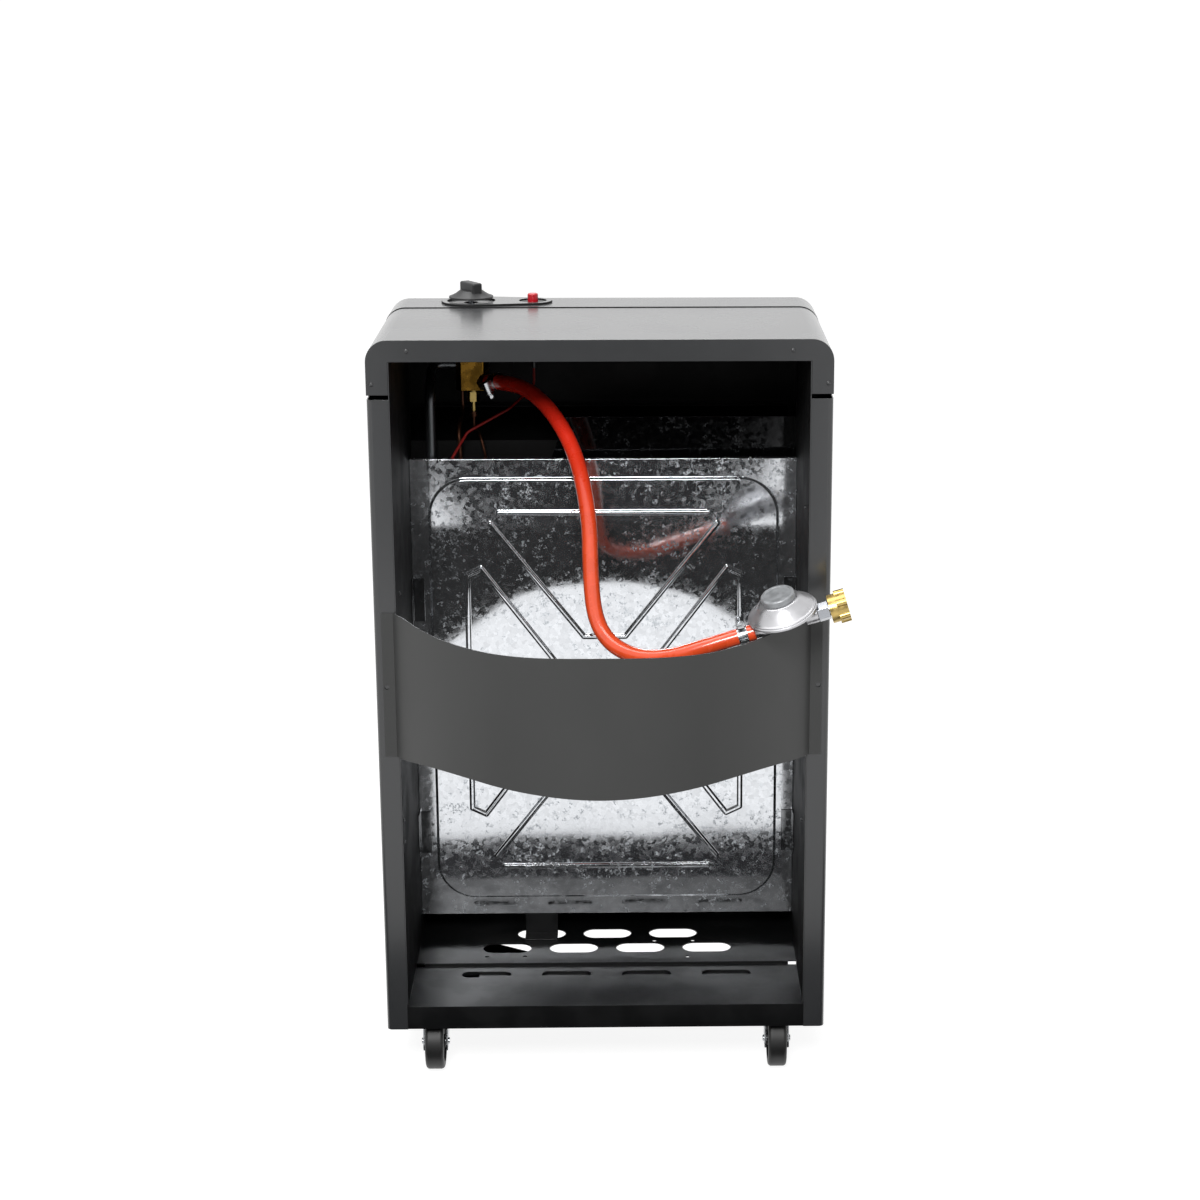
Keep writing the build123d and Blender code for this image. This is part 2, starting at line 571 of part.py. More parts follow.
def base_tray():
    """Tray with a raised front floor, a lower rear well, cut slots and pressed recesses."""
    side = INNER
    front = FRONT_Y + 2 * SHEET
    rear = REAR_Y - SHEET
    wall = FLOOR_SHEET
    inner = side - wall
    well_z = FLOOR_Z - FLOOR_STEP
    well_under = well_z - wall
    over = FLOOR_Z + CUT
    tray = block(-side, side, front, rear, SKIRT_Z, FLOOR_Z)
    tray = fillet(tray.edges().filter_by(Axis.Z), CORNER_RADIUS - SHEET)
    tray -= block(-inner, inner, front + wall, FLOOR_STEP_Y + wall / 2, SKIRT_Z - CUT, well_under)
    tray -= block(-inner, inner, front + wall, FLOOR_STEP_Y, well_under - CUT, FLOOR_UNDER_Z)
    tray -= block(-inner, inner, FLOOR_STEP_Y, rear - wall, SKIRT_Z - CUT, well_under)
    tray -= block(-LINER_X, LINER_X, FLOOR_STEP_Y + wall, rear + CUT, well_z, over)
    for i in (-1, 0, 1):
        tray -= obround(i * SLOT_PITCH, FRONT_ROW_Y, SLOT_LENGTH, SLOT_WIDTH, SKIRT_Z, over)
    for i in (-1.5, -0.5, 0.5, 1.5):
        tray -= obround(i * SLOT_PITCH, MIDDLE_ROW_Y, SLOT_LENGTH, SLOT_WIDTH, SKIRT_Z, over)
        x = i * REAR_ROW_PITCH
        tray += obround(
            x, REAR_ROW_Y, SLOT_LENGTH + 2 * wall, REAR_SLOT_WIDTH + 2 * wall,
            well_under - REAR_RECESS, well_z - wall / 2,
        )
        tray -= obround(x, REAR_ROW_Y, SLOT_LENGTH, REAR_SLOT_WIDTH, well_z - REAR_RECESS, over)
    end_x = 1.5 * REAR_ROW_PITCH + SLOT_LENGTH / 2
    opening = obround(1.5 * REAR_ROW_PITCH, REAR_ROW_Y, SLOT_LENGTH, REAR_SLOT_WIDTH, SKIRT_Z, over)
    tray -= opening & block(
        end_x - REAR_OPENING, end_x + CUT, REAR_ROW_Y - REAR_SLOT_WIDTH, REAR_ROW_Y + REAR_SLOT_WIDTH,
        SKIRT_Z - CUT, over + CUT,
    )
    relief, relief_width = FOLD_RELIEF
    for side in (-1, 1):
        tray -= block(
            side * (LINER_X - relief), side * LINER_X, FLOOR_STEP_Y, FLOOR_STEP_Y + relief_width,
            SKIRT_Z, over,
        )
    for x, y in FIXING_HOLES:
        tray -= post(x, y, SKIRT_Z, over, FIXING_HOLE_D)
    return tray


def front_panel():
    side = HALF - CORNER_RADIUS
    y0 = FRONT_Y + SHEET
    y1 = y0 + SHEET
    panel = block(-side, side, y0, y1, FRONT_PANEL_BOTTOM_Z, FRONT_PANEL_TOP_Z)
    return_y = y0 + FRONT_PANEL_RETURN
    inner = FRONT_OPENING_X - SEAM
    panel += block(-inner, inner, y0, return_y, FRONT_PANEL_TOP_Z - SHEET, FRONT_PANEL_TOP_Z)
    slot = extrude(SlotOverall(LOUVRE_LENGTH, LOUVRE_WIDTH), 5, both=True)
    middle_z = (FRONT_PANEL_BOTTOM_Z + FRONT_PANEL_TOP_Z) / 2
    for column in (-1, 1):
        for row in range(LOUVRE_ROWS):
            z = middle_z + (row - (LOUVRE_ROWS - 1) / 2) * LOUVRE_PITCH
            panel -= Pos(column * HEAD_PITCH, y0, z) * Rot(90, 0, 0) * slot
    return panel


def guard_grille():
    """Welded wire guard: a bent frame rod, upright wires, cross wires and four legs."""
    y = FRONT_Y - GUARD_PROUD + GUARD_FRAME_D / 2
    x1 = GUARD_HALF_WIDTH
    z0 = FRONT_PANEL_TOP_Z - GUARD_MARGIN
    z1 = FASCIA_Z + GUARD_MARGIN
    ring = Plane.XZ * Pos(0, (z0 + z1) / 2) * RectangleRounded(2 * x1, z1 - z0, 4 * GUARD_FRAME_D)
    path = ring.face().outer_wire()
    section = Plane(origin=path @ 0, z_dir=path % 0) * Circle(GUARD_FRAME_D / 2)
    frame = Pos(0, y, 0) * sweep(section, path=path)
    cross_y = y - GUARD_FRAME_D / 2 + GUARD_WIRE_D
    wire_y = y - GUARD_FRAME_D / 2 + GUARD_WIRE_D / 2
    for i in range(GUARD_WIRES):
        x = x1 * (2 * (i + 1) / (GUARD_WIRES + 1) - 1)
        frame += post(x, wire_y, z0, z1, GUARD_WIRE_D)
    for i in range(GUARD_CROSS_WIRES):
        z = z0 + (z1 - z0) * (i + 1) / (GUARD_CROSS_WIRES + 1)
        frame += rod_x(-x1, x1, cross_y + GUARD_CROSS_D / 4, z, GUARD_CROSS_D)
        if i != 1:
            for side in (-1, 1):
                frame += rod_y(side * x1, y, FRONT_Y, z, GUARD_CROSS_D)
    return frame


# ---------------------------------------------------------------- heat shield
def bead(points):
    """A pressed bead along straight lines in the shield's plane, as a tapered ridge."""
    ridges = []
    for (x0, z0), (x1, z1) in zip(points, points[1:]):
        length = hypot(x1 - x0, z1 - z0)
        turn = degrees(atan2(z1 - z0, x1 - x0))
        strip = extrude(SlotCenterToCenter(length, BEAD_WIDTH), BEAD_RISE, taper=BEAD_TAPER)
        place = Pos((x0 + x1) / 2, SHIELD_Y, PATTERN_Z + (z0 + z1) / 2)
        ridges.append(place * Rot(0, -turn, 0) * Rot(-90, 0, 0) * strip)
    return ridges[0] + ridges[1:]


def bead_lines():
    """The open bead lines of the pattern: two bars, two wings and two side triangles."""
    lines = []
    for up in (1, -1):
        lines.append([(-BAR_HALF_LENGTH, up * BAR_OFFSET), (BAR_HALF_LENGTH, up * BAR_OFFSET)])
        lines.append([
            (-WING_HALF_WIDTH, up * WING_OFFSET), (-TIP_HALF_WIDTH, up * TIP_OFFSET),
            (TIP_HALF_WIDTH, up * TIP_OFFSET), (WING_HALF_WIDTH, up * WING_OFFSET),
        ])
    for side in (1, -1):
        lines.append([
            (side * SIDE_INNER_X, SIDE_INNER_OFFSET), (side * SIDE_SHOULDER_X, SIDE_TIP_OFFSET),
            (side * SIDE_OUTER_X, SIDE_OUTER_OFFSET), (side * SIDE_OUTER_X, -SIDE_OUTER_OFFSET),
            (side * SIDE_SHOULDER_X, -SIDE_TIP_OFFSET), (side * SIDE_INNER_X, -SIDE_INNER_OFFSET),
            (side * SIDE_INNER_X, SIDE_INNER_OFFSET),
        ])
    return lines


def raised_field(drop):
    """The pressed rounded rectangle, as a tapered block on the shield's rear face."""
    outline = RectangleRounded(2 * PANEL_HALF_WIDTH, 2 * PANEL_HALF_HEIGHT, PANEL_CORNER)
    solid = extrude(outline, PANEL_RISE, taper=BEAD_TAPER)
    return Pos(0, SHIELD_Y - drop, PATTERN_Z) * Rot(-90, 0, 0) * solid


def heat_shield():
    front = SHIELD_Y - SHIELD_SHEET
    sheet = block(-SHIELD_HALF_WIDTH, SHIELD_HALF_WIDTH, front, SHIELD_Y, SHIELD_BOTTOM_Z, SHIELD_TOP_Z)
    sheet += raised_field(0)
    sheet -= raised_field(SHIELD_SHEET)
    for line in bead_lines():
        sheet += Pos(0, PANEL_RISE, 0) * bead(line)
    flange_front = front - SHIELD_TOP_FLANGE
    top = block(
        -SHIELD_HALF_WIDTH, SHIELD_HALF_WIDTH, flange_front, front,
        SHIELD_TOP_Z - SHIELD_SHEET, SHIELD_TOP_Z,
    )
    return sheet + top


def shield_brackets():
    """Four small angles that hold the shield's edges to the liners."""
    group = []
    for z in BRACKET_CENTRES:
        z0 = z - BRACKET_HEIGHT / 2
        z1 = z + BRACKET_HEIGHT / 2
        leg = block(LINER_X - BRACKET_LEG, LINER_X, SHIELD_Y, SHIELD_Y + BRACKET_SHEET, z0, z1)
        leg += block(LINER_X - BRACKET_SHEET, LINER_X, SHIELD_Y, SHIELD_Y + BRACKET_LEG, z0, z1)
        group += [leg, mirrored(leg)]
    return Compound(children=group)


def shield_foot():
    """The strip that ties the shield's lower edge to the floor."""
    x0 = FOOT_X - FOOT_WIDTH / 2
    x1 = FOOT_X + FOOT_WIDTH / 2
    rear = SHIELD_Y - SHIELD_SHEET
    strip = block(x0, x1, rear - FOOT_SHEET, rear, FLOOR_Z, SHIELD_BOTTOM_Z + FOOT_LAP)
    return strip + block(x0, x1, rear - FOOT_SHEET, rear + FOOT_LENGTH, FLOOR_Z, FLOOR_Z + FOOT_SHEET)


# ---------------------------------------------------------------- retaining band
def bow_outline(inset):
    """Plan of the bow, filled and drawn in: a middle arc between two flatter tangent arcs."""
    radius = BAND_ARC_SHARE * BAND_TAB_X
    turn = radians(BAND_ARC_TURN)
    run = BAND_TAB_X - radius * sin(turn)
    rise = BAND_DEPTH - BAND_SHEET - radius * (1 - cos(turn))
    end_turn = 2 * atan2(rise, run) - turn
    flat = run / (sin(end_turn) - sin(turn))
    middle_y = REAR_Y + BAND_DEPTH - radius
    flat_x = -(flat - radius) * sin(turn)
    flat_y = middle_y - (flat - radius) * cos(turn)

    def on_flat(side, angle):
        return (side * (flat_x + (flat - inset) * sin(angle)), flat_y + (flat - inset) * cos(angle))

    half_way = (turn + end_turn) / 2
    arcs = [
        ThreePointArc(on_flat(-1, end_turn), on_flat(-1, half_way), on_flat(-1, turn)),
        ThreePointArc(on_flat(-1, turn), (0, middle_y + radius - inset), on_flat(1, turn)),
        ThreePointArc(on_flat(1, turn), on_flat(1, half_way), on_flat(1, end_turn)),
    ]
    return make_face([*arcs, Line(on_flat(1, end_turn), on_flat(-1, end_turn))])


def band_edge_cutter(edge_z, dip):
    """What lies beyond the band's upper or lower edge, which eases in beside the tabs."""
    beyond = edge_z - (CUT if dip > 0 else -CUT)
    near = BAND_TAB_X - BAND_EASE
    share = BAND_EASE_SHARE * dip
    edge = Spline(
        (-BAND_TAB_X, edge_z), (-near, edge_z + share), (0, edge_z + dip), (near, edge_z + share),
        (BAND_TAB_X, edge_z), tangents=((1, 0), (1, 0)),
    )
    rest = Polyline((BAND_TAB_X, edge_z), (BAND_TAB_X, beyond), (-BAND_TAB_X, beyond), (-BAND_TAB_X, edge_z))
    cutter = Plane.XZ * make_face([edge, *rest.edges()])
    return Pos(0, REAR_Y + BAND_DEPTH + CUT, 0) * extrude(cutter, BAND_DEPTH + CUT - BAND_SHEET)


def retaining_band():
    """The bowed band that holds the bottle in, with a tab and two hooks at each end."""
    height = BAND_TOP_Z - BAND_BOTTOM_Z
    band = Pos(0, 0, BAND_BOTTOM_Z) * extrude(bow_outline(0), height)
    band -= Pos(0, 0, BAND_BOTTOM_Z - CUT) * extrude(bow_outline(BAND_SHEET), height + 2 * CUT)
    for side in (-1, 1):
        band += block(
            side * (BAND_TAB_X - BAND_SHEET), side * BAND_HALF_WIDTH,
            REAR_Y, REAR_Y + BAND_SHEET, BAND_BOTTOM_Z, BAND_TOP_Z,
        )
    band -= band_edge_cutter(BAND_TOP_Z, -BAND_TOP_DIP)
    band -= band_edge_cutter(BAND_BOTTOM_Z, BAND_BOTTOM_RISE)
    for side in (-1, 1):
        for z in HOOK_CENTRES:
            band += block(
                side * HOOK_X - BAND_SHEET / 2, side * HOOK_X + BAND_SHEET / 2,
                REAR_Y - HOOK_DEPTH, REAR_Y, z - HOOK_HEIGHT / 2, z + HOOK_HEIGHT / 2,
            )
        band -= rod_y(side * HOOK_X, REAR_Y - CUT, REAR_Y + BAND_SHEET + CUT, PEEP_HOLE_Z, PEEP_HOLE_D)
    return band


def screw_head(x, y, z, out):
    """A low dome head that stands on a face, along the direction given."""
    head = Cone(
        SCREW_D / 2, SCREW_D / 4, SCREW_HEAD, align=(Align.CENTER, Align.CENTER, Align.MIN),
    )
    return along((x, y, z), out) * head


def cabinet_screws():
    """Dome heads on the hood's rear flange and cheeks, and on the liners."""
    rearward = (0, 1, 0)
    heads = []
    for side in (-1, 1):
        heads.append(screw_head(side * HOOD_SCREW_X, REAR_Y, TOP_Z - POST_WIDTH / 2, rearward))
        heads.append(screw_head(side * (HALF - CORNER_RADIUS), REAR_Y, CHEEK_SCREW_Z, rearward))
    for y, z in LEFT_LINER_SCREWS:
        heads.append(screw_head(LINER_X, y, z, (-1, 0, 0)))
    for y, z in RIGHT_LINER_SCREWS:
        heads.append(screw_head(-LINER_X, y, z, (1, 0, 0)))
    return Compound(children=heads)


# ---------------------------------------------------------------- burner
def reflector_panels():
    """Four plates round the burner heads, from the window to the back plate."""
    x1 = REFLECTOR_HALF_WIDTH
    y0 = REFLECTOR_FRONT_Y
    y1 = PLATE_FRONT_Y
    z0 = REFLECTOR_BOTTOM_Z
    rear_z = REFLECTOR_REAR_Z
    front_z = FASCIA_Z - SHEET
    slope = Polyline(
        (y1, rear_z), (y0, front_z), (y0, front_z + SHEET), (y1, rear_z + SHEET), close=True,
    )
    top = Pos(-x1, 0, 0) * extrude(Plane.YZ * make_face(slope.edges()), 2 * x1)
    bottom = block(-x1, x1, y0, y1, z0 - SHEET, z0)
    cut_z0 = z0 - SHEET - CUT
    cut_z1 = z0 + CUT
    for i in (-1, 0, 1):
        bottom -= post(i * HEAD_PITCH, PIPE_ROW_Y, cut_z0, cut_z1, NECK_D + 2 * PLAQUE_CLEARANCE)
    reach = PILOT_HALF_WIDTH
    notch_y = 1.5 * PILOT_PIPE_D
    bottom -= block(
        PILOT_X - reach, PILOT_X + reach, PILOT_ROW_Y - notch_y, PILOT_ROW_Y + notch_y, cut_z0, cut_z1,
    )
    upstand = block(-x1, x1, PILOT_LEG_Y - SHEET, PILOT_LEG_Y, z0, z0 + REFLECTOR_UPSTAND)
    upstand -= block(
        PILOT_X - reach - SHEET, PILOT_X + reach + SHEET, y0, y1, z0, z0 + REFLECTOR_UPSTAND + CUT,
    )
    outline = Polyline((y1, z0), (y0, z0), (y0, front_z), (y1, rear_z), close=True)
    side = Pos(x1 - SHEET, 0, 0) * extrude(Plane.YZ * make_face(outline.edges()), SHEET)
    return Compound(children=[top, bottom + upstand - side - mirrored(side), side, mirrored(side)])


def burner_back_plate():
    return block(
        -LINER_X, LINER_X, PLATE_FRONT_Y, BURNER_BACK_Y, BACK_PLATE_BOTTOM_Z, BACK_PLATE_TOP_Z,
    )


def deflector_plate():
    """Bright sheet behind the back plate, cut at a slant beside the valve."""
    outline = Polyline(
        (-LINER_X, DEFLECTOR_BOTTOM_Z), (DEFLECTOR_BOTTOM_X, DEFLECTOR_BOTTOM_Z),
        (DEFLECTOR_TOP_X, DEFLECTOR_TOP_Z), (-LINER_X, DEFLECTOR_TOP_Z), close=True,
    )
    sheet = extrude(Plane.XZ * make_face(outline.edges()), SHEET)
    return Pos(0, BURNER_BACK_Y + SHEET, 0) * sheet


def burner_head(x):
    z0 = HEAD_BOTTOM_Z
    z1 = z0 + HEAD_HEIGHT
    half = HEAD_WIDTH / 2
    body = block(x - half, x + half, HEAD_FRONT_Y, PLATE_FRONT_Y, z0, z1)
    pocket = half - HEAD_WALL
    body -= block(
        x - pocket, x + pocket, HEAD_FRONT_Y - CUT, PLATE_FRONT_Y - HEAD_WALL,
        z0 + HEAD_WALL, z1 - HEAD_WALL,
    )
    body += post(x, PIPE_ROW_Y, NECK_BOTTOM_Z, z0 + HEAD_WALL, NECK_D)
    ledge_y = HEAD_FRONT_Y + PLAQUE_THICKNESS
    ledge = block(x - pocket, x + pocket, ledge_y, ledge_y + HEAD_WALL, z0 + HEAD_WALL, z1 - HEAD_WALL)
    window = pocket - 2 * HEAD_WALL
    ledge -= block(
        x - window, x + window, ledge_y - CUT, ledge_y + HEAD_WALL + CUT,
        z0 + 3 * HEAD_WALL, z1 - 3 * HEAD_WALL,
    )
    return body + ledge - post(x, PIPE_ROW_Y, NECK_BOTTOM_Z - CUT, z0 + HEAD_WALL + CUT, NECK_BORE_D)


def ceramic_plaque(x):
    half = HEAD_WIDTH / 2 - HEAD_WALL - PLAQUE_CLEARANCE
    z0 = HEAD_BOTTOM_Z + HEAD_WALL + PLAQUE_CLEARANCE
    z1 = HEAD_BOTTOM_Z + HEAD_HEIGHT - HEAD_WALL - PLAQUE_CLEARANCE
    return block(x - half, x + half, HEAD_FRONT_Y, HEAD_FRONT_Y + PLAQUE_THICKNESS, z0, z1)


def injector_top_z():
    return NECK_BOTTOM_Z - PLAQUE_CLEARANCE


def gas_manifold():
    x1 = HEAD_PITCH + MANIFOLD_D
    tube = rod_x(-x1, FEED_X - FEED_PIPE_D, PIPE_ROW_Y, MANIFOLD_Z, MANIFOLD_D)
    half = MANIFOLD_TAB[0] / 2
    thick = MANIFOLD_TAB[1] / 2
    tab_z = REFLECTOR_BOTTOM_Z - SHEET
    for x in (-HEAD_PITCH / 2, HEAD_PITCH * 1.25):
        tube += block(x - half, x + half, PIPE_ROW_Y - thick, PIPE_ROW_Y + thick, MANIFOLD_Z, tab_z)
    return tube


def injectors():
    """Three brass jets on the manifold, each below its venturi neck."""
    jets = []
    reach = INJECTOR_D + CUT
    for i in (-1, 0, 1):
        x = i * HEAD_PITCH
        jet = post(x, PIPE_ROW_Y, MANIFOLD_Z + MANIFOLD_D / 2 - CUT / 2, injector_top_z(), INJECTOR_D)
        jets.append(jet - rod_x(x - reach, x + reach, PIPE_ROW_Y, MANIFOLD_Z, MANIFOLD_D))
    return Compound(children=jets)


# ---------------------------------------------------------------- pipes and leads
def tube_along(points, diameter, radii):
    """A round tube along straight runs joined by arcs."""
    path = FilletPolyline(*[Vector(*p) for p in points], radius=radii)
    start = Plane(origin=path @ 0, z_dir=path % 0)
    return sweep(start * Circle(diameter / 2), path=path)


def widest_arcs(points, share=0.45):
    """For each corner the largest arc that leaves a share of the shorter run free."""
    radii = []
    vectors = [Vector(*p) for p in points]
    for before, corner, after in zip(vectors, vectors[1:], vectors[2:]):
        first = corner - before
        second = after - corner
        turn = radians(first.get_angle(second))
        radii.append(share * min(first.length, second.length) / tan(turn / 2))
    return radii


def feed_pipe():
    """Gas pipe from the valve's outlet, down behind the back plate, to the manifold."""
    start_x = KNOB_X + VALVE_BLOCK / 2
    bend = 1.2 * FEED_PIPE_D
    points = [
        (start_x, KNOB_Y, FEED_Z), (FEED_X, KNOB_Y, FEED_Z), (FEED_X, FEED_Y, FEED_Z - FEED_FALL),
        (FEED_X, FEED_Y, MANIFOLD_Z + FEED_RISE), (FEED_X, PIPE_ROW_Y, MANIFOLD_Z),
        (FEED_X - FEED_PIPE_D, PIPE_ROW_Y, MANIFOLD_Z),
    ]
    return tube_along(points, FEED_PIPE_D, [bend, bend, bend, FEED_PIPE_D * 0.9])


def pilot_line(top_points, x_bottom, y_fall, end_z):
    """Route from the controls, behind the back plate and under it, up to the pilot unit."""
    under_z = BACK_PLATE_BOTTOM_Z - LINES_UNDER
    return [
        *top_points, (x_bottom, y_fall, BACK_PLATE_BOTTOM_Z + LINES_TURN), (x_bottom, y_fall, under_z),
        (x_bottom, PILOT_ROW_Y, under_z), (x_bottom, PILOT_ROW_Y, end_z),
    ]


def bent_line(points, diameter):
    """A thin pipe or lead with bends of at most four diameters."""
    radii = [min(r, 4 * diameter) for r in widest_arcs(points, 0.4)]
    return tube_along(points, diameter, radii)


def thermocouple():
    """Sensing tip, copper lead and union nut."""
    x_tip = PILOT_X - PILOT_PITCH
    y_fall = BURNER_BACK_Y + THERMOCOUPLE_FALL
    nut_z = THERMOCOUPLE_NUT_BOTTOM_Z
    top = [(KNOB_X, KNOB_Y, nut_z), (KNOB_X, KNOB_Y, BACK_PLATE_TOP_Z + THERMOCOUPLE_OVER)]
    top += [(KNOB_X + x, y_fall, BACK_PLATE_TOP_Z + z) for x, z in THERMOCOUPLE_ROUTE]
    lead = bent_line(pilot_line(top, x_tip, y_fall, PILOT_TAB_Z + LEAD_D), LEAD_D)
    nut = post(KNOB_X, KNOB_Y, nut_z, THERMOCOUPLE_NUT_TOP_Z, THERMOCOUPLE_NUT_D)
    tip = post(x_tip, PILOT_ROW_Y, PILOT_TAB_Z, PILOT_NOZZLE_TOP_Z, LEAD_D + SHEET)
    return lead + nut + tip


def pilot_pipe():
    """Thin pipe from the valve's pilot outlet to the pilot jet."""
    x0 = KNOB_X + PILOT_OUTLET[0]
    y0 = KNOB_Y + PILOT_OUTLET[1]
    y_fall = BURNER_BACK_Y + PILOT_PIPE_FALL
    top = [(x0, y0, VALVE_BOTTOM_Z), (x0, y0, BACK_PLATE_TOP_Z + PILOT_PIPE_OVER)]
    top += [(x0 + x, y_fall, BACK_PLATE_TOP_Z + z) for x, z in PILOT_PIPE_ROUTE]
    return bent_line(pilot_line(top, PILOT_X, y_fall, PILOT_TAB_Z - PILOT_JET_LENGTH), PILOT_PIPE_D)


def ignition_lead():
    """Insulated wire from the igniter, behind the back plate, to the electrode."""
    x_end = PILOT_X + PILOT_PITCH
    y_fall = SHIELD_Y - SHIELD_SHEET - SHIELD_TOP_FLANGE - IGNITION_GAP
    start_z = IGNITER_TERMINAL_Z
    (first_x, first_z), *others = IGNITION_ROUTE
    top = [
        (IGNITER_X, KNOB_Y, start_z), (IGNITER_X, KNOB_Y, start_z - IGNITION_DROP),
        (IGNITER_X + first_x, y_fall - IGNITION_SET, start_z + first_z),
    ]
    top += [(IGNITER_X + x, y_fall, start_z + z) for x, z in others]
    return bent_line(pilot_line(top, x_end, y_fall, PILOT_TAB_Z - PILOT_JET_LENGTH), IGNITION_LEAD_D)


def pilot_burner():
    """Pilot bracket with its hooded jet."""
    x0 = PILOT_X - PILOT_HALF_WIDTH
    x1 = PILOT_X + PILOT_HALF_WIDTH
    under = PILOT_TAB_Z - PANEL_SHEET
    unit = block(x0, x1, PILOT_TAB_FRONT_Y, PILOT_LEG_Y, under, PILOT_TAB_Z)
    unit += block(x0, x1, PILOT_LEG_Y - SHEET, PILOT_LEG_Y, REFLECTOR_BOTTOM_Z, PILOT_TAB_Z)
    foot_z = PILOT_TAB_Z - PILOT_JET_LENGTH
    unit += post(PILOT_X, PILOT_ROW_Y, foot_z, PILOT_NOZZLE_TOP_Z, PILOT_NOZZLE_D)
    slot_z = PILOT_NOZZLE_TOP_Z - PILOT_NOZZLE_D / 2
    unit -= block(
        PILOT_X - PILOT_NOZZLE_D, PILOT_X + PILOT_NOZZLE_D, PILOT_ROW_Y - SHEET, PILOT_ROW_Y + SHEET,
        slot_z - PILOT_NOTCH / 2, slot_z + PILOT_NOTCH / 2,
    )
    for x, diameter in ((-PILOT_PITCH, LEAD_D + SHEET), (PILOT_PITCH, ELECTRODE_D)):
        unit -= post(PILOT_X + x, PILOT_ROW_Y, under - CUT, PILOT_TAB_Z + CUT, diameter)
    return unit


def spark_electrode():
    x = PILOT_X + PILOT_PITCH
    shoulder_z = PILOT_NOZZLE_TOP_Z - ELECTRODE_SHOULDER
    body = post(x, PILOT_ROW_Y, PILOT_TAB_Z - PILOT_JET_LENGTH, shoulder_z, ELECTRODE_D)
    return body + post(x, PILOT_ROW_Y, shoulder_z, PILOT_NOZZLE_TOP_Z + ELECTRODE_TIP, ELECTRODE_ROD_D)


# ---------------------------------------------------------------- valve, knob and igniter
def valve_block():
    half = VALVE_BLOCK / 2
    body = block(KNOB_X - half, KNOB_X + half, KNOB_Y - half, KNOB_Y + half, VALVE_BOTTOM_Z, VALVE_TOP_Z)
    return chamfer(body.edges().filter_by(Axis.Z), VALVE_CHAMFER)


def gas_valve():
    body = valve_block()
    body += post(KNOB_X, KNOB_Y, VALVE_TOP_Z, VALVE_NECK_TOP_Z, VALVE_NECK_D)
    plug_bore = PLUG_D + 2 * RUNNING_CLEARANCE
    body -= post(KNOB_X, KNOB_Y, VALVE_BOTTOM_Z - CUT, PLUG_TOP_Z + RUNNING_CLEARANCE, plug_bore)
    spindle_bore = SPINDLE_D + 2 * RUNNING_CLEARANCE
    return body - post(KNOB_X, KNOB_Y, PLUG_TOP_Z, VALVE_NECK_TOP_Z + CUT, spindle_bore)


def magnet_unit():
    """Safety magnet housing screwed up into the valve, with the stud for the thermocouple."""
    unit = post(KNOB_X, KNOB_Y, VALVE_BOTTOM_Z, PLUG_BOTTOM_Z - 2 * RUNNING_CLEARANCE, PLUG_D)
    unit += post(KNOB_X, KNOB_Y, MAGNET_HEX_TOP_Z, VALVE_BOTTOM_Z, MAGNET_NECK_D)
    hexagon = RegularPolygon(MAGNET_HEX / 2, 6, major_radius=False)
    height = MAGNET_HEX_TOP_Z - MAGNET_HEX_BOTTOM_Z
    unit += Pos(KNOB_X, KNOB_Y, MAGNET_HEX_BOTTOM_Z) * extrude(hexagon, height)
    return unit + post(KNOB_X, KNOB_Y, THERMOCOUPLE_NUT_TOP_Z, MAGNET_HEX_BOTTOM_Z, MAGNET_STUD_D)


def valve_bracket():
    """Angle from the fascia that carries the valve by its neck."""
    x0 = IGNITER_X + IGNITER_NUT_HEX
    x1 = KNOB_X + VALVE_BLOCK
    y0 = FRONT_Y + PANEL_SHEET
    y1 = KNOB_Y + VALVE_BLOCK / 2
    plate = block(x0, x1, y0, y1, VALVE_TOP_Z, VALVE_TOP_Z + BRACKET_PLATE)
    top = VALVE_TOP_Z + BRACKET_PLATE
    plate += block(x0, x1, y0, y0 + BRACKET_PLATE, HOOD_SKIRT_Z - BRACKET_LEG_DROP, top)
    return plate - post(KNOB_X, KNOB_Y, VALVE_TOP_Z - CUT, top + CUT, VALVE_NECK_D)


def valve_plug():
    plug = post(KNOB_X, KNOB_Y, PLUG_BOTTOM_Z, PLUG_TOP_Z, PLUG_D)
    bore = SPINDLE_D + 2 * RUNNING_CLEARANCE
    floor_z = SPINDLE_BOTTOM_Z - KNOB_TRAVEL - CUT
    return plug - post(KNOB_X, KNOB_Y, floor_z, PLUG_TOP_Z + CUT, bore)


def valve_spindle():
    return post(KNOB_X, KNOB_Y, SPINDLE_BOTTOM_Z, SPINDLE_TOP_Z, SPINDLE_D)


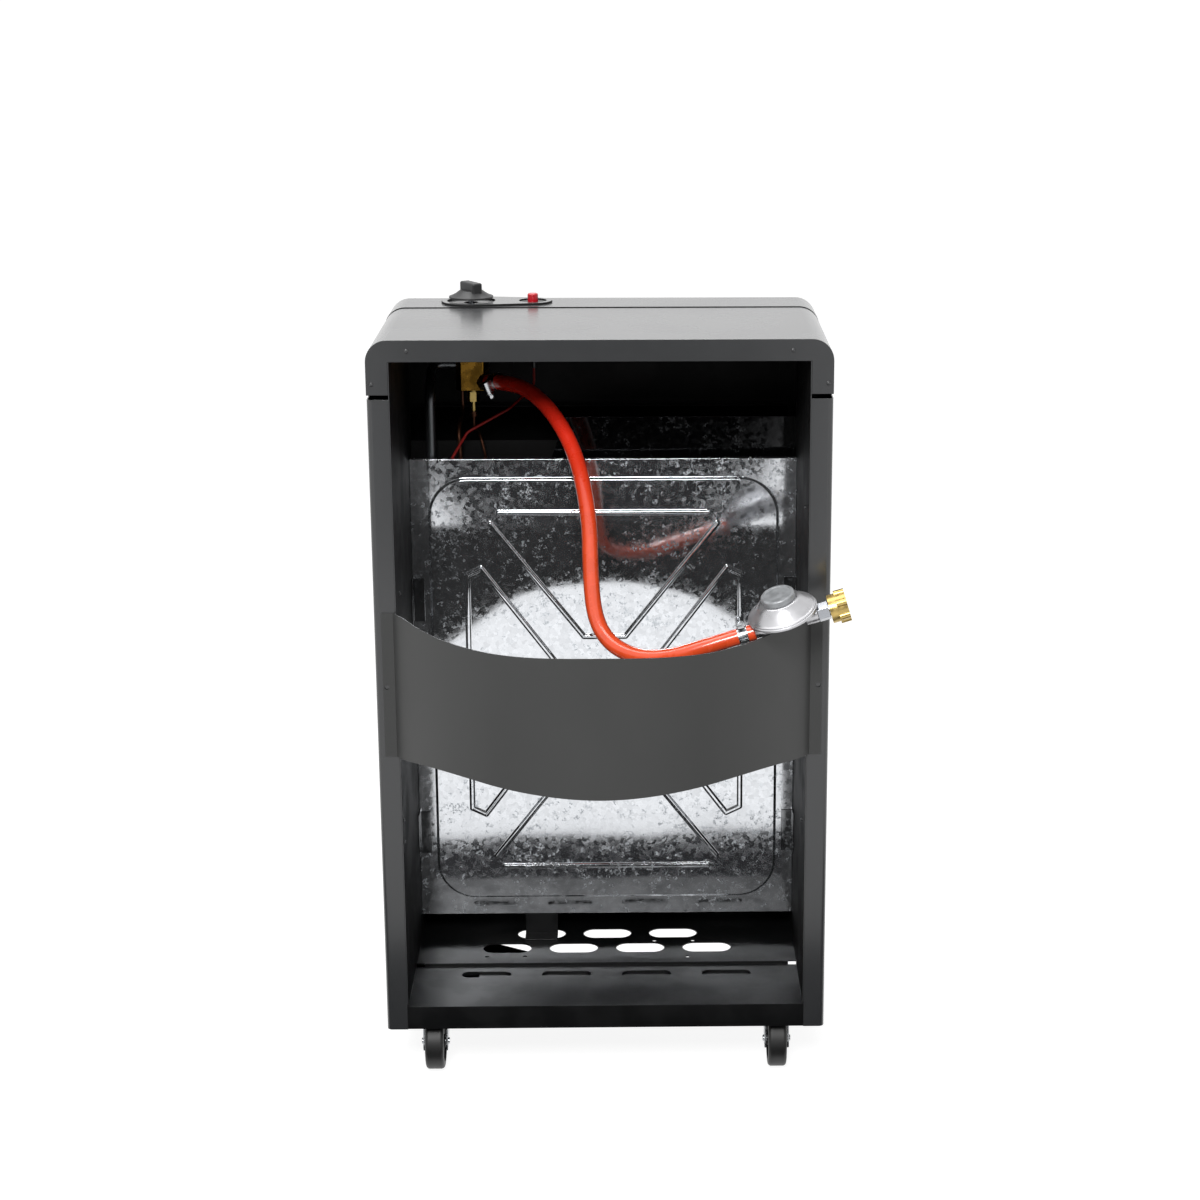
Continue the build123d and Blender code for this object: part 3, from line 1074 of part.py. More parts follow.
def control_knob():
    r_skirt = KNOB_SKIRT_D / 2
    r_shoulder = KNOB_SHOULDER_D / 2
    rim_z = KNOB_BOTTOM_Z + KNOB_RIM
    mid_r = (r_skirt + r_shoulder) / 2
    mid_z = rim_z + (KNOB_SHOULDER_Z - rim_z) * KNOB_HOLLOW
    outline = [
        Line((0, KNOB_BOTTOM_Z), (r_skirt, KNOB_BOTTOM_Z)),
        Line((r_skirt, KNOB_BOTTOM_Z), (r_skirt, rim_z)),
        ThreePointArc((r_skirt, rim_z), (mid_r, mid_z), (r_shoulder, KNOB_SHOULDER_Z)),
        Line((r_shoulder, KNOB_SHOULDER_Z), (0, KNOB_SHOULDER_Z)),
        Line((0, KNOB_SHOULDER_Z), (0, KNOB_BOTTOM_Z)),
    ]
    dish = revolve(Plane.XZ * make_face(outline), Axis.Z)
    grip_z = rim_z + GRIP_SINK
    grip = Pos(0, 0, (grip_z + KNOB_TOP_Z) / 2) * Box(GRIP_WIDTH, GRIP_LENGTH, KNOB_TOP_Z - grip_z)
    ends = [e for e in grip.edges().filter_by(Axis.X) if e.center().Z > KNOB_SHOULDER_Z]
    grip = fillet(ends, GRIP_END_RADIUS)
    grip = fillet(grip.edges().filter_by(Axis.Z), GRIP_EDGE_RADIUS)
    knob = Pos(KNOB_X, KNOB_Y, 0) * (dish + Rot(0, 0, GRIP_TURN) * grip)
    return knob - post(KNOB_X, KNOB_Y, KNOB_BOTTOM_Z - CUT, SPINDLE_TOP_Z, SPINDLE_D)


def igniter_body():
    flange_z = TOP_Z + IGNITER_FLANGE
    body = post(IGNITER_X, KNOB_Y, IGNITER_BOTTOM_Z, TOP_Z, IGNITER_BODY_D)
    body += post(IGNITER_X, KNOB_Y, TOP_Z, flange_z, IGNITER_FLANGE_D)
    body += post(IGNITER_X, KNOB_Y, IGNITER_TERMINAL_Z, IGNITER_BOTTOM_Z, IGNITER_TERMINAL_D)
    bore_z = BUTTON_BOTTOM_Z - BUTTON_TRAVEL - CUT
    return body - post(IGNITER_X, KNOB_Y, bore_z, flange_z + CUT, BUTTON_D + 2 * RUNNING_CLEARANCE)


def igniter_nut():
    top_z = TOP_Z - PANEL_SHEET
    hexagon = RegularPolygon(IGNITER_NUT_HEX / 2, 6, major_radius=False)
    nut = Pos(IGNITER_X, KNOB_Y, top_z - IGNITER_NUT_HEIGHT) * extrude(hexagon, IGNITER_NUT_HEIGHT)
    return nut - post(
        IGNITER_X, KNOB_Y, top_z - IGNITER_NUT_HEIGHT - CUT, top_z + CUT, IGNITER_BODY_D,
    )


def igniter_button():
    button = post(IGNITER_X, KNOB_Y, BUTTON_BOTTOM_Z, BUTTON_TOP_Z, BUTTON_D)
    return chamfer(button.edges().group_by(Axis.Z)[-1], BUTTON_CHAMFER)


def escutcheon():
    """Drop-shaped plate under the knob and round the igniter button."""
    big = Pos(CONTROL_PITCH, 0) * Circle(ESCUTCHEON_KNOB_D / 2)
    plan = make_hull([*big.edges(), *Circle(ESCUTCHEON_BUTTON_D / 2).edges()])
    plate = Pos(IGNITER_X, KNOB_Y, TOP_Z) * extrude(plan, ESCUTCHEON_THICKNESS)
    plate = chamfer(plate.edges().group_by(Axis.Z)[-1], ESCUTCHEON_CHAMFER)
    top = TOP_Z + ESCUTCHEON_THICKNESS + CUT
    plate -= post(KNOB_X, KNOB_Y, TOP_Z - CUT, top, ESCUTCHEON_KNOB_HOLE_D)
    return plate - post(IGNITER_X, KNOB_Y, TOP_Z - CUT, top, ESCUTCHEON_BUTTON_HOLE_D)


# ---------------------------------------------------------------- hose and regulator
def hose_route():
    """The hose's corner points: the first ones follow the valve, the others lie in the bay."""
    valve = Vector(KNOB_X, KNOB_Y, VALVE_BOTTOM_Z)
    return [valve + Vector(*p) for p in HOSE_AT_VALVE] + [Vector(*p) for p in HOSE_IN_BAY]


def hose_ends():
    """Start, its direction, end and its direction, along the route."""
    points = hose_route()
    first = (points[1] - points[0]).normalized()
    last = (points[-1] - points[-2]).normalized()
    return points[0], first, points[-1], last


def gas_hose():
    route = hose_route()
    radii = widest_arcs(route)
    path = FilletPolyline(*route, radius=radii)
    start = Plane(origin=path @ 0, z_dir=path % 0)
    hose = sweep(start * Circle(HOSE_D / 2), path=path)
    print("hose length", round(path.length, 1), "tightest arc", round(min(radii), 1))
    begin, begin_dir, end, end_dir = hose_ends()
    bore = Pos(0, 0, BARB_LENGTH / 2) * Cylinder(HOSE_BORE_D / 2, BARB_LENGTH)
    return hose - along(begin, begin_dir) * bore - along(end, end_dir * -1) * bore


def hose_tail():
    """Brass barbed tail on the valve: hexagon against the block and barb in the hose."""
    begin, direction, _, _ = hose_ends()
    place = along(begin, direction)
    hexagon = RegularPolygon(TAIL_HEX / 2, 6, major_radius=False)
    tail = place * Pos(0, 0, -TAIL_HEX_LENGTH) * extrude(hexagon, TAIL_HEX_LENGTH)
    tail += place * Pos(0, 0, BARB_LENGTH / 2) * Cylinder(BARB_D / 2, BARB_LENGTH)
    return tail - valve_block()


def hose_clip(place, turn):
    """Worm-drive clip: strap round the hose, screw housing and screw."""
    outer = HOSE_D / 2 + CLIP_BAND
    strap = Cylinder(outer, CLIP_BAND_WIDTH) - Cylinder(HOSE_D / 2, CLIP_BAND_WIDTH + CUT)
    along_hose, out, across = CLIP_BOX
    middle = outer + out / 2
    housing = Pos(middle - CLIP_BAND / 2, 0, 0) * Box(out, across, along_hose)
    housing = chamfer(housing.edges().filter_by(Axis.Z), CLIP_CHAMFER)
    screw = Pos(middle, across / 2 + CLIP_SCREW_LENGTH / 2 - CUT / 2, 0) * Rot(90, 0, 0)
    screw = screw * Cylinder(CLIP_SCREW_D / 2, CLIP_SCREW_LENGTH)
    return place * Rot(0, 0, turn) * (strap + housing + screw)


def hose_clip_upper():
    begin, direction, _, _ = hose_ends()
    return hose_clip(along(begin + direction * UPPER_CLIP_SETBACK, direction), UPPER_CLIP_TURN)


def hose_clip_lower():
    _, _, end, direction = hose_ends()
    return hose_clip(along(end - direction * LOWER_CLIP_SETBACK, direction), LOWER_CLIP_TURN)


def regulator_frames():
    """The pipe line's location at the hose end, and the dome's location on its rim plane."""
    _, _, end, line = hose_ends()
    lean = radians(REGULATOR_LEAN)
    upright = Vector(0, 0, 1) - line * line.Z
    rearward = Vector(0, 1, 0) - line * line.Y
    upright = upright.normalized() * cos(lean) + rearward.normalized() * sin(lean)
    rim = end + line * REGULATOR_REACH + upright * REGULATOR_LINE_DROP
    return along(end, line), along(rim, upright, across=line)


def regulator_body():
    """Die-cast body: pipe line, inlet boss, lower pan, rim and the dome above the diaphragm."""
    pipe, dome = regulator_frames()
    length = REGULATOR_REACH + STEM_START
    half_rim = REGULATOR_RIM / 2
    body = pipe * Pos(0, 0, length / 2) * Cylinder(REGULATOR_BODY_D / 2, length)
    inlet = length - INLET_BOSS_LENGTH / 2
    body += pipe * Pos(0, 0, inlet) * Cylinder(INLET_BOSS_D / 2, INLET_BOSS_LENGTH)
    boss_height = REGULATOR_LINE_DROP - half_rim
    body += dome * Pos(0, 0, -half_rim - boss_height / 2) * Cylinder(REGULATOR_BODY_D / 2, boss_height)
    body += dome * Pos(0, 0, -half_rim - REGULATOR_PAN / 2) * Cylinder(REGULATOR_PAN_D / 2, REGULATOR_PAN)
    body += dome * Cylinder(REGULATOR_RIM_D / 2, REGULATOR_RIM)
    cone = Cone(
        REGULATOR_DOME_D / 2, REGULATOR_DOME_TOP_D / 2, REGULATOR_DOME,
        align=(Align.CENTER, Align.CENTER, Align.MIN),
    )
    body += dome * Pos(0, 0, half_rim) * cone
    return body + pipe * Pos(0, 0, -BARB_LENGTH / 2) * Cylinder(BARB_D / 2, BARB_LENGTH)


def regulator_cap():
    """Round plug screwed into the dome, with a shallow dish inside a raised ring."""
    _, dome = regulator_frames()
    seat = REGULATOR_RIM / 2 + REGULATOR_DOME
    cap = Pos(0, 0, seat + CAP_HEIGHT / 2) * Cylinder(CAP_D / 2, CAP_HEIGHT)
    cap = chamfer(cap.edges().group_by(Axis.Z)[-1], CAP_CHAMFER)
    cap -= Pos(0, 0, seat + CAP_HEIGHT) * Cylinder(CAP_D / 2 - CAP_RING, 2 * CAP_DISH)
    return dome * cap


def regulator_stem():
    """Steel inlet stem: hexagon, shaft and the collar that holds the hand wheel."""
    pipe, _ = regulator_frames()
    start = REGULATOR_REACH + STEM_START
    hexagon = RegularPolygon(STEM_HEX / 2, 6, major_radius=False)
    stem = Pos(0, 0, start) * extrude(hexagon, STEM_HEX_LENGTH)
    shaft = start + STEM_HEX_LENGTH
    stem += Pos(0, 0, shaft + STEM_SHAFT_LENGTH / 2) * Cylinder(STEM_SHAFT_D / 2, STEM_SHAFT_LENGTH)
    collar = shaft + STEM_SHAFT_LENGTH
    stem += Pos(0, 0, collar + STEM_COLLAR_LENGTH / 2) * Cylinder(STEM_COLLAR_D / 2, STEM_COLLAR_LENGTH)
    return pipe * stem


def regulator_handwheel():
    """Brass nut that turns freely on the stem: a barrel with finger lobes at its open end."""
    pipe, _ = regulator_frames()
    collar = REGULATOR_REACH + STEM_START + STEM_HEX_LENGTH + STEM_SHAFT_LENGTH
    base = collar - WHEEL_NUT_RUN - WHEEL_NUT_FLOOR
    end = base + WHEEL_NUT_LENGTH
    nut = Pos(0, 0, (base + end) / 2) * Cylinder(WHEEL_NUT_D / 2, WHEEL_NUT_LENGTH)
    lobe = Pos(WHEEL_NUT_LOBE_REACH - WHEEL_NUT_LOBE_D / 2, 0, end - WHEEL_NUT_LOBE_LENGTH / 2)
    lobe = lobe * Cylinder(WHEEL_NUT_LOBE_D / 2, WHEEL_NUT_LOBE_LENGTH)
    for i in range(WHEEL_NUT_LOBES):
        nut += Rot(0, 0, i * 360 / WHEEL_NUT_LOBES) * lobe
    bores = (
        (base - CUT, STEM_SHAFT_D / 2 + RUNNING_CLEARANCE),
        (base + WHEEL_NUT_FLOOR, STEM_COLLAR_D / 2 + WHEEL_NUT_RUN),
        (collar + STEM_COLLAR_LENGTH + WHEEL_NUT_RUN, WHEEL_NUT_BORE_D / 2),
    )
    for start, radius in bores:
        nut -= Pos(0, 0, (start + end + CUT) / 2) * Cylinder(radius, end + CUT - start)
    return pipe * nut


# ---------------------------------------------------------------- castors
def castor_places():
    return {
        "front_left": (CASTOR_X, CASTOR_FRONT_Y), "front_right": (-CASTOR_X, CASTOR_FRONT_Y),
        "rear_left": (CASTOR_X, CASTOR_REAR_Y), "rear_right": (-CASTOR_X, CASTOR_REAR_Y),
    }


def castor_mount_z(y):
    """Underside of the floor where a castor stands."""
    if y > FLOOR_STEP_Y:
        return FLOOR_UNDER_Z - FLOOR_STEP
    return FLOOR_UNDER_Z


def crown_top_z():
    return CASTOR_WHEEL_D + CASTOR_CROWN_GAP + CASTOR_CROWN


def castor_plate(x, y):
    """Fixed plate with its bearing cup and riveted king pin."""
    top = castor_mount_z(y)
    under = top - CASTOR_PLATE_THICKNESS
    half = CASTOR_PLATE / 2
    plate = block(x - half, x + half, y - half, y + half, under, top)
    plate = fillet(plate.edges().filter_by(Axis.Z), CASTOR_PLATE_CORNER)
    plate += post(x, y, crown_top_z() + CASTOR_RUN, under, CASTOR_CUP_D)
    head_top = crown_top_z() - CASTOR_CROWN - CASTOR_RUN
    plate += post(x, y, head_top, under, CASTOR_PIN_D)
    plate += post(x, y, head_top - CASTOR_PIN_HEAD, head_top, CASTOR_PIN_HEAD_D)
    for i in (-1, 1):
        for j in (-1, 1):
            bx = x + i * BOLT_PITCH / 2
            by = y + j * BOLT_PITCH / 2
            plate -= post(bx, by, under - CUT, top + CUT, BOLT_D)
    return plate


def castor_bolts():
    """Sixteen bolt heads under the castor plates with their shanks."""
    bolts = []
    for x, y in castor_places().values():
        top = castor_mount_z(y)
        under = top - CASTOR_PLATE_THICKNESS
        for i in (-1, 1):
            for j in (-1, 1):
                bx = x + i * BOLT_PITCH / 2
                by = y + j * BOLT_PITCH / 2
                bolts.append(
                    post(bx, by, under - BOLT_HEAD, under, BOLT_HEAD_D) + post(bx, by, under, top, BOLT_D)
                )
    return Compound(children=bolts)


def castor_fork(x, y):
    """Pressed fork that swivels on the king pin, and its axle pin."""
    inner = CASTOR_WHEEL_WIDTH / 2 + CASTOR_SIDE_GAP
    outer = inner + CASTOR_LEG
    top = crown_top_z()
    crown_under = top - CASTOR_CROWN
    crown_rear = CASTOR_TRAIL * CASTOR_CROWN_SHARE
    crown = post(0, 0, crown_under, top, CASTOR_CUP_D)
    crown += block(-outer, outer, -outer, crown_rear, crown_under, top)
    boss = CASTOR_AXLE_D * 1.2
    z = CASTOR_AXLE_Z
    side = Polyline(
        (-outer, top), (crown_rear, top), (CASTOR_TRAIL + boss, z + CASTOR_LEG),
        (CASTOR_TRAIL + boss, z - boss), (CASTOR_TRAIL - boss, z - boss),
        (-outer, crown_under - CASTOR_NOSE_DROP), close=True,
    )
    leg = extrude(Plane.YZ * make_face(side.edges()), CASTOR_LEG)
    fork = crown + Pos(inner, 0, 0) * leg + Pos(-outer, 0, 0) * leg
    fork -= post(0, 0, crown_under - CUT, top + CUT, CASTOR_PIN_D + 2 * RUNNING_CLEARANCE)
    fork -= rod_x(-outer - CUT, outer + CUT, CASTOR_TRAIL, z, CASTOR_AXLE_D)
    reach = outer + CASTOR_AXLE_STUB
    pin = rod_x(-reach, reach, CASTOR_TRAIL, z, CASTOR_AXLE_D)
    return Compound(children=[Pos(x, y, 0) * fork, Pos(x, y, 0) * pin])


def castor_wheel(x, y):
    """Moulded wheel with a rounded tread and a recessed web."""
    half = CASTOR_WHEEL_WIDTH / 2
    radius = CASTOR_WHEEL_D / 2
    wheel = Cylinder(radius, CASTOR_WHEEL_WIDTH)
    wheel = fillet(wheel.edges().filter_by(GeomType.CIRCLE), CASTOR_TREAD_RADIUS)
    deep = CASTOR_RECESS + CUT
    recess = Cylinder(radius - CASTOR_RIM, deep) - Cylinder(CASTOR_AXLE_D * 1.1, deep)
    for side in (-1, 1):
        wheel -= Pos(0, 0, side * (half - CASTOR_RECESS + deep / 2)) * recess
    wheel -= Cylinder(CASTOR_AXLE_D / 2 + RUNNING_CLEARANCE, CASTOR_WHEEL_WIDTH + 2 * CUT)
    return Pos(x, y + CASTOR_TRAIL, CASTOR_AXLE_Z) * Rot(0, 90, 0) * wheel


# ---------------------------------------------------------------- write the nodes
def main():
    os.makedirs("parts", exist_ok=True)
    save(hood(), "hood")
    save(control_panel(), "control_panel")
    left = side_panel()
    save(left, "side_panel_left")
    save(mirrored(left), "side_panel_right")
    save(liner(), "liner_left")
    save(mirrored(liner()), "liner_right")
    save(base_tray(), "base_tray")
    save(front_panel(), "front_panel")
    save(guard_grille(), "guard_grille")
    save(heat_shield(), "heat_shield")
    save(shield_brackets(), "shield_brackets")
    save(shield_foot(), "shield_foot")
    save(retaining_band(), "retaining_band")
    save(cabinet_screws(), "cabinet_screws")
    save(reflector_panels(), "reflector_panels")
    save(burner_back_plate(), "burner_back_plate")
    save(deflector_plate(), "deflector_plate")
    for name, step in (("left", 1), ("centre", 0), ("right", -1)):
        save(burner_head(step * HEAD_PITCH), f"burner_head_{name}")
        save(ceramic_plaque(step * HEAD_PITCH), f"ceramic_plaque_{name}")
    save(gas_manifold(), "gas_manifold")
    save(injectors(), "injectors")
    save(feed_pipe(), "feed_pipe")
    save(thermocouple(), "thermocouple")
    save(pilot_pipe(), "pilot_pipe")
    save(pilot_burner(), "pilot_burner")
    save(spark_electrode(), "spark_electrode")
    save(ignition_lead(), "ignition_lead")
    save(gas_valve(), "gas_valve")
    save(magnet_unit(), "magnet_unit")
    save(valve_bracket(), "valve_bracket")
    save(valve_plug(), "valve_plug")
    save(valve_spindle(), "valve_spindle")
    save(control_knob(), "control_knob")
    save(igniter_body(), "igniter_body")
    save(igniter_nut(), "igniter_nut")
    save(igniter_button(), "igniter_button")
    save(escutcheon(), "escutcheon")
    save(hose_tail(), "hose_tail")
    save(hose_clip_upper(), "hose_clip_upper")
    save(gas_hose(), "gas_hose")
    save(hose_clip_lower(), "hose_clip_lower")
    save(regulator_body(), "regulator_body")
    save(regulator_cap(), "regulator_cap")
    save(regulator_stem(), "regulator_stem")
    save(regulator_handwheel(), "regulator_handwheel")
    places = castor_places()
    save(Compound(children=[castor_plate(x, y) for x, y in places.values()]), "castor_plates")
    save(castor_bolts(), "castor_bolts")
    for name, (x, y) in places.items():
        save(castor_fork(x, y), f"castor_fork_{name}")
        save(castor_wheel(x, y), f"castor_wheel_{name}")


main()
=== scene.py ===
"""Looks of a portable gas cabinet heater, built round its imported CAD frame. Metres, Z up.

The open rear faces +Y and the camera. Every piece lies in the frame's own coordinates.
"""
import json
import math

import bpy
from mathutils import Matrix, Vector

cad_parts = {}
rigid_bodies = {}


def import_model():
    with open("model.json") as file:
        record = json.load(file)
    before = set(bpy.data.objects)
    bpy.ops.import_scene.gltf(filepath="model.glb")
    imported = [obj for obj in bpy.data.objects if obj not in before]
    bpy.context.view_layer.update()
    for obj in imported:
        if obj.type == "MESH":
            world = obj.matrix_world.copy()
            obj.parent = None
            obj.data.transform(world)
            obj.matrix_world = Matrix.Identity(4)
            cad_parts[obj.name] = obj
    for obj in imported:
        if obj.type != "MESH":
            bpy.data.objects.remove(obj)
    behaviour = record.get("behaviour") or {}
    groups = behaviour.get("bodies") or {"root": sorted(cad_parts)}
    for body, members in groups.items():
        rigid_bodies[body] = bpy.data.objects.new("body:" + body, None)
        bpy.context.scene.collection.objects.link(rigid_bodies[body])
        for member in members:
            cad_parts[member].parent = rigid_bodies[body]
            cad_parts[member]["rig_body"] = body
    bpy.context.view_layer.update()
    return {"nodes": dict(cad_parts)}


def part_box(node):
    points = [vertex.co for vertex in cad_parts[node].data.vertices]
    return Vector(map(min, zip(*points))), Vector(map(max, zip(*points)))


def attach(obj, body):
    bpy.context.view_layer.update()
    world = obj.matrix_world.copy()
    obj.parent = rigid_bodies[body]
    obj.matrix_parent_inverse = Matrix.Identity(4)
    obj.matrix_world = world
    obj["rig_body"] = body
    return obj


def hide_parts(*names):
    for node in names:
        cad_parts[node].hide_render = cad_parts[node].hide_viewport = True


bl_info = {
    "name": "Gas cabinet heater",
    "version": (1, 0, 0),
    "blender": (4, 5, 0),
    "location": "View3D > Sidebar > Heater",
    "description": "Builds the finishes, hose and fittings of a portable gas cabinet heater",
    "category": "Object",
}

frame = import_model()
MM = 0.001

# ------------------------------ camera
CAMERA_PLACE = (-0.0306, 2.2913, 1.0886)
CAMERA_PITCH = math.radians(15.35)  # looking down
CAMERA_YAW = math.radians(178.857)  # looking towards -Y
CAMERA_LENS = 75.27
CAMERA_SENSOR = 36.0
CAMERA_SHIFT = -0.0698

# ------------------------------ hose and clips
HOSE_ROUTE = (
    (112, -133, 645), (87, -109, 650), (54, -72, 637), (25, -35, 597), (12, 4, 543),
    (11, 40, 494), (7, 68, 460), (-8, 92, 442), (-34, 110, 435), (-64, 119, 439),
    (-94, 122, 449.6), (-138, 122, 463),
)
HOSE_RADIUS = 7.5 * MM
# the deeper red is painted shade on the hose's upper end
HOSE_SHADE_RISE = (0.50, 0.64)  # heights between which the hose turns a deeper red
CLIP_SETBACK = 11 * MM
CLIP_WIDTH = 9 * MM
CLIP_STRAP = 0.9 * MM
CLIP_SLOTS = 30
CLIP_SLOT_MARGIN = 0.16 * MM
CLIP_SLOT_DEPTH = 0.4 * MM
# directions to a clip's housing and to its screw's head
UPPER_CLIP_FACES = (0.616, 0.712, -0.339), (-0.334, -0.154, -0.930)
LOWER_CLIP_FACES = (0.291, 0.0, 0.957), (0.0, 1.0, 0.0)
HOUSING_RADIUS = 4.4 * MM
HOUSING_LENGTH = 12.6 * MM
HOUSING_OUT = 12.2 * MM  # from the middle of the hose
HOUSING_FLATNESS = 0.8
FOOT_SIZE = (4.2 * MM, 12.8 * MM, 6.9 * MM)
FOOT_OUT = 10.0 * MM
SCREW_OUT = 12.6 * MM
SCREW_HEAD = (3.4 * MM, 3.6 * MM, 9.1 * MM)  # radius, length, place along the screw
SCREW_COLLAR = (4.0 * MM, 1.2 * MM, 6.9 * MM)
SCREW_SLOT = (0.9 * MM, 1.6 * MM, 8 * MM)
SCREW_SLOT_AT = 10.9 * MM

# ------------------------------ regulator and knob
REGULATOR_LEAN = math.radians(14)
REGULATOR_REACH = 29 * MM
REGULATOR_RISE = 12 * MM
BOSS_RADIUS = 6.5 * MM
BOSS_LENGTH = 12 * MM
BOSS_DROP = 8.0 * MM
KNOB_GRIP = (27.0 * MM, 10.5 * MM, 13.0 * MM)
KNOB_TURN = math.radians(-56.6)
GRIP_PROUD = 0.05 * MM  # above the top of the CAD's knob
GRIP_EDGE = 2.0 * MM

# ------------------------------ sheets and edges
MERGE = 1e-6
FLAT = math.radians(0.4)
HARD_EDGE = math.radians(38)
EDGE = 0.3 * MM  # rounding of most hard edges
SHEET_EDGE = 0.12 * MM
BEAD_EDGE = 0.55 * MM
CREST_DEPTH = 0.3 * MM  # faces this near the highest point are the beads' tops
FACING = 0.99  # least share of a normal along its axis
REAR_LIMIT = -0.2
CABINET_MIDDLE = Vector((0, 0, 0.40))
GROOVE_Y = -117 * MM
GROOVE_REACH = 2.5 * MM
PANEL_SHOULDER = 0.69  # the control panel's top is above this height
PANEL_STEP = 0.7 * MM
BACKING_BLOCKS = (
    ((176, -196.6, 604), (203, -195.6, 669.6)),
    ((200, -195, 655), (207.2, -188, 669.6)),
    ((207, -191, 655), (208.8, -106, 669.6)),
)
CORNERS = ("front_left", "front_right", "rear_left", "rear_right")

# ------------------------------ zinc and ceramic
SWELL_RISE = (0.385, 0.475)
SWELL_FALL = (0.46, 0.62)
SWELL_SIDES = (0.0, 0.22)
WAVE_SCALE = 6.0
WAVE_HEIGHT = 1.6 * MM
CELL_BEND = 0.007  # how far noise bends the crystals' edges
CELL_HEIGHT = 0.002 * MM
DARKEST_CELL = 0.78
FLECK_CHANCE = (1.20, 1.45)
FLECK_EDGE = (0.42, 0.62)
FLECK_ROUGHNESS = 0.20
ZINC_METAL = (0.95, 0.88)  # clean, and in a fleck
ZINC_ROUGHNESS = (0.05, 0.12)
HOLE_SPACING = 1.3 * MM
HOLE_EDGE = (0.55 * MM, 0.85 * MM)
HOLE_DEPTH = 0.6 * MM
HOLE_SHADE = 0.16
NOISE_ROUGHNESS = 0.55

# ------------------------------ stage
# dark panels, seen only in reflections as painted dark reflections: name, middle, size, tilt in
# degrees
DARK_PANELS = (
    ("dark_backdrop", (0.0, 3.0, 2.2), (5.0, 2.6), 90),
    ("dark_screen", (0.055, 2.15, 0.3), (0.73, 0.6), 90),
    ("dark_mat", (0.0, 0.24, 0.002), (1.6, 0.32), 0),
)
# lamps: place, target, size
OVERHEAD_LAMP = (0.35, -0.5, 2.4), (0, -0.05, 0.6), (2.0, 1.4)
FRONT_LAMP = (0.25, 2.4, 2.1), (0, 0, 0.4), (1.0, 0.8)


# ------------------------------ mesh work
def deselect():
    bpy.ops.object.select_all(action="DESELECT")


def select_only(piece):
    deselect()
    piece.select_set(True)
    bpy.context.view_layer.objects.active = piece


def bevelled(piece, width, segments=2, clamp=True):
    """Rounds the hard edges of a piece."""
    select_only(piece)
    edges = piece.modifiers.new("rounded_edges", "BEVEL")
    edges.use_clamp_overlap = clamp
    edges.width = width
    edges.segments = segments
    edges.limit_method = "ANGLE"
    edges.angle_limit = HARD_EDGE
    bpy.ops.object.modifier_apply(modifier=edges.name)
    return piece


def smoothed(piece, angle=32):
    """Smooth curves, with flat faces kept flat by weighting the normals by area."""
    select_only(piece)
    bpy.ops.object.shade_smooth_by_angle(angle=math.radians(angle))
    flats = piece.modifiers.new("flat_faces", "WEIGHTED_NORMAL")
    flats.mode = "FACE_AREA"
    flats.weight = 90
    flats.keep_sharp = True
    bpy.ops.object.modifier_apply(modifier=flats.name)
    return piece


def shaded_round(piece, chosen_flats, chosen_tops):
    """Shades narrow raised faces as if they were round, and keeps the wide ones flat."""
    for chosen, strength in ((chosen_flats, "STRONG"), (chosen_tops, "WEAK")):
        select_only(piece)
        for face in piece.data.polygons:
            face.select = chosen(face)
        bpy.ops.object.mode_set(mode="EDIT")
        bpy.ops.mesh.select_mode(type="FACE")
        bpy.ops.mesh.mod_weighted_strength(set=True, face_strength=strength)
        bpy.ops.object.mode_set(mode="OBJECT")
    shading = piece.modifiers.new("round_tops", "WEIGHTED_NORMAL")
    shading.use_face_influence = True
    shading.keep_sharp = True
    bpy.ops.object.modifier_apply(modifier=shading.name)


def painted(piece, *materials):
    piece.data.materials.clear()
    for material in materials:
        piece.data.materials.append(material)
    return piece


def fitted(piece, body, slot, *nodes):
    """Lets a piece ride on a body and stand for CAD nodes."""
    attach(piece, body)
    if nodes:
        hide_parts(*nodes)
    return piece


def refined(node, bevel=EDGE, segments=2, angle=32, clamp=True):
    """A merged copy of a CAD node with rounded hard edges and smooth curves."""
    source = frame["nodes"][node]
    piece = source.copy()
    piece.data = source.data.copy()
    piece.name = f"{node}_finished"
    piece.parent = None
    for key in list(piece.keys()):
        del piece[key]
    bpy.context.collection.objects.link(piece)
    piece.matrix_world = Matrix.Identity(4)
    select_only(piece)
    bpy.ops.object.mode_set(mode="EDIT")
    bpy.ops.mesh.select_all(action="SELECT")
    bpy.ops.mesh.remove_doubles(threshold=MERGE)
    bpy.ops.mesh.dissolve_limited(angle_limit=FLAT)
    bpy.ops.object.mode_set(mode="OBJECT")
    if bevel:
        bevelled(piece, bevel, segments, clamp)
    return smoothed(piece, angle)


def dressed(node, slot, *finishes, bevel=EDGE, segments=2, angle=32, clamp=True):
    """A CAD node's refined copy in its place, in the finish that its slot names or in others."""
    piece = painted(refined(node, bevel, segments, angle, clamp), *(finishes or [finish(slot)]))
    return fitted(piece, frame["nodes"][node]["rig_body"], slot, node)


def looks_inward(face):
    return face.normal.dot(face.center - CABINET_MIDDLE) < 0


def looks_inward_or_in_groove(face):
    return looks_inward(face) or abs(face.center.y - GROOVE_Y) < GROOVE_REACH


def looks_rearward(face):
    return face.normal.y > REAR_LIMIT


def with_painted_shade(node, slot, outside, inside, hidden=looks_inward, bevel=EDGE):
    """A dressed sheet whose faces in shade take a darker paint: painted shade."""
    piece = dressed(node, slot, outside, inside, bevel=bevel)
    for face in piece.data.polygons:
        face.material_index = int(hidden(face))
    return piece


def placed(piece, matrix):
    """Moves a mesh into its place and leaves the object at the origin."""
    piece.data.transform(matrix)
    piece.matrix_world = Matrix.Identity(4)
    return piece


def shape_applied():
    """Puts the active piece's place, turn and scale into its mesh."""
    bpy.ops.object.transform_apply(location=True, rotation=True, scale=True)
    return bpy.context.object


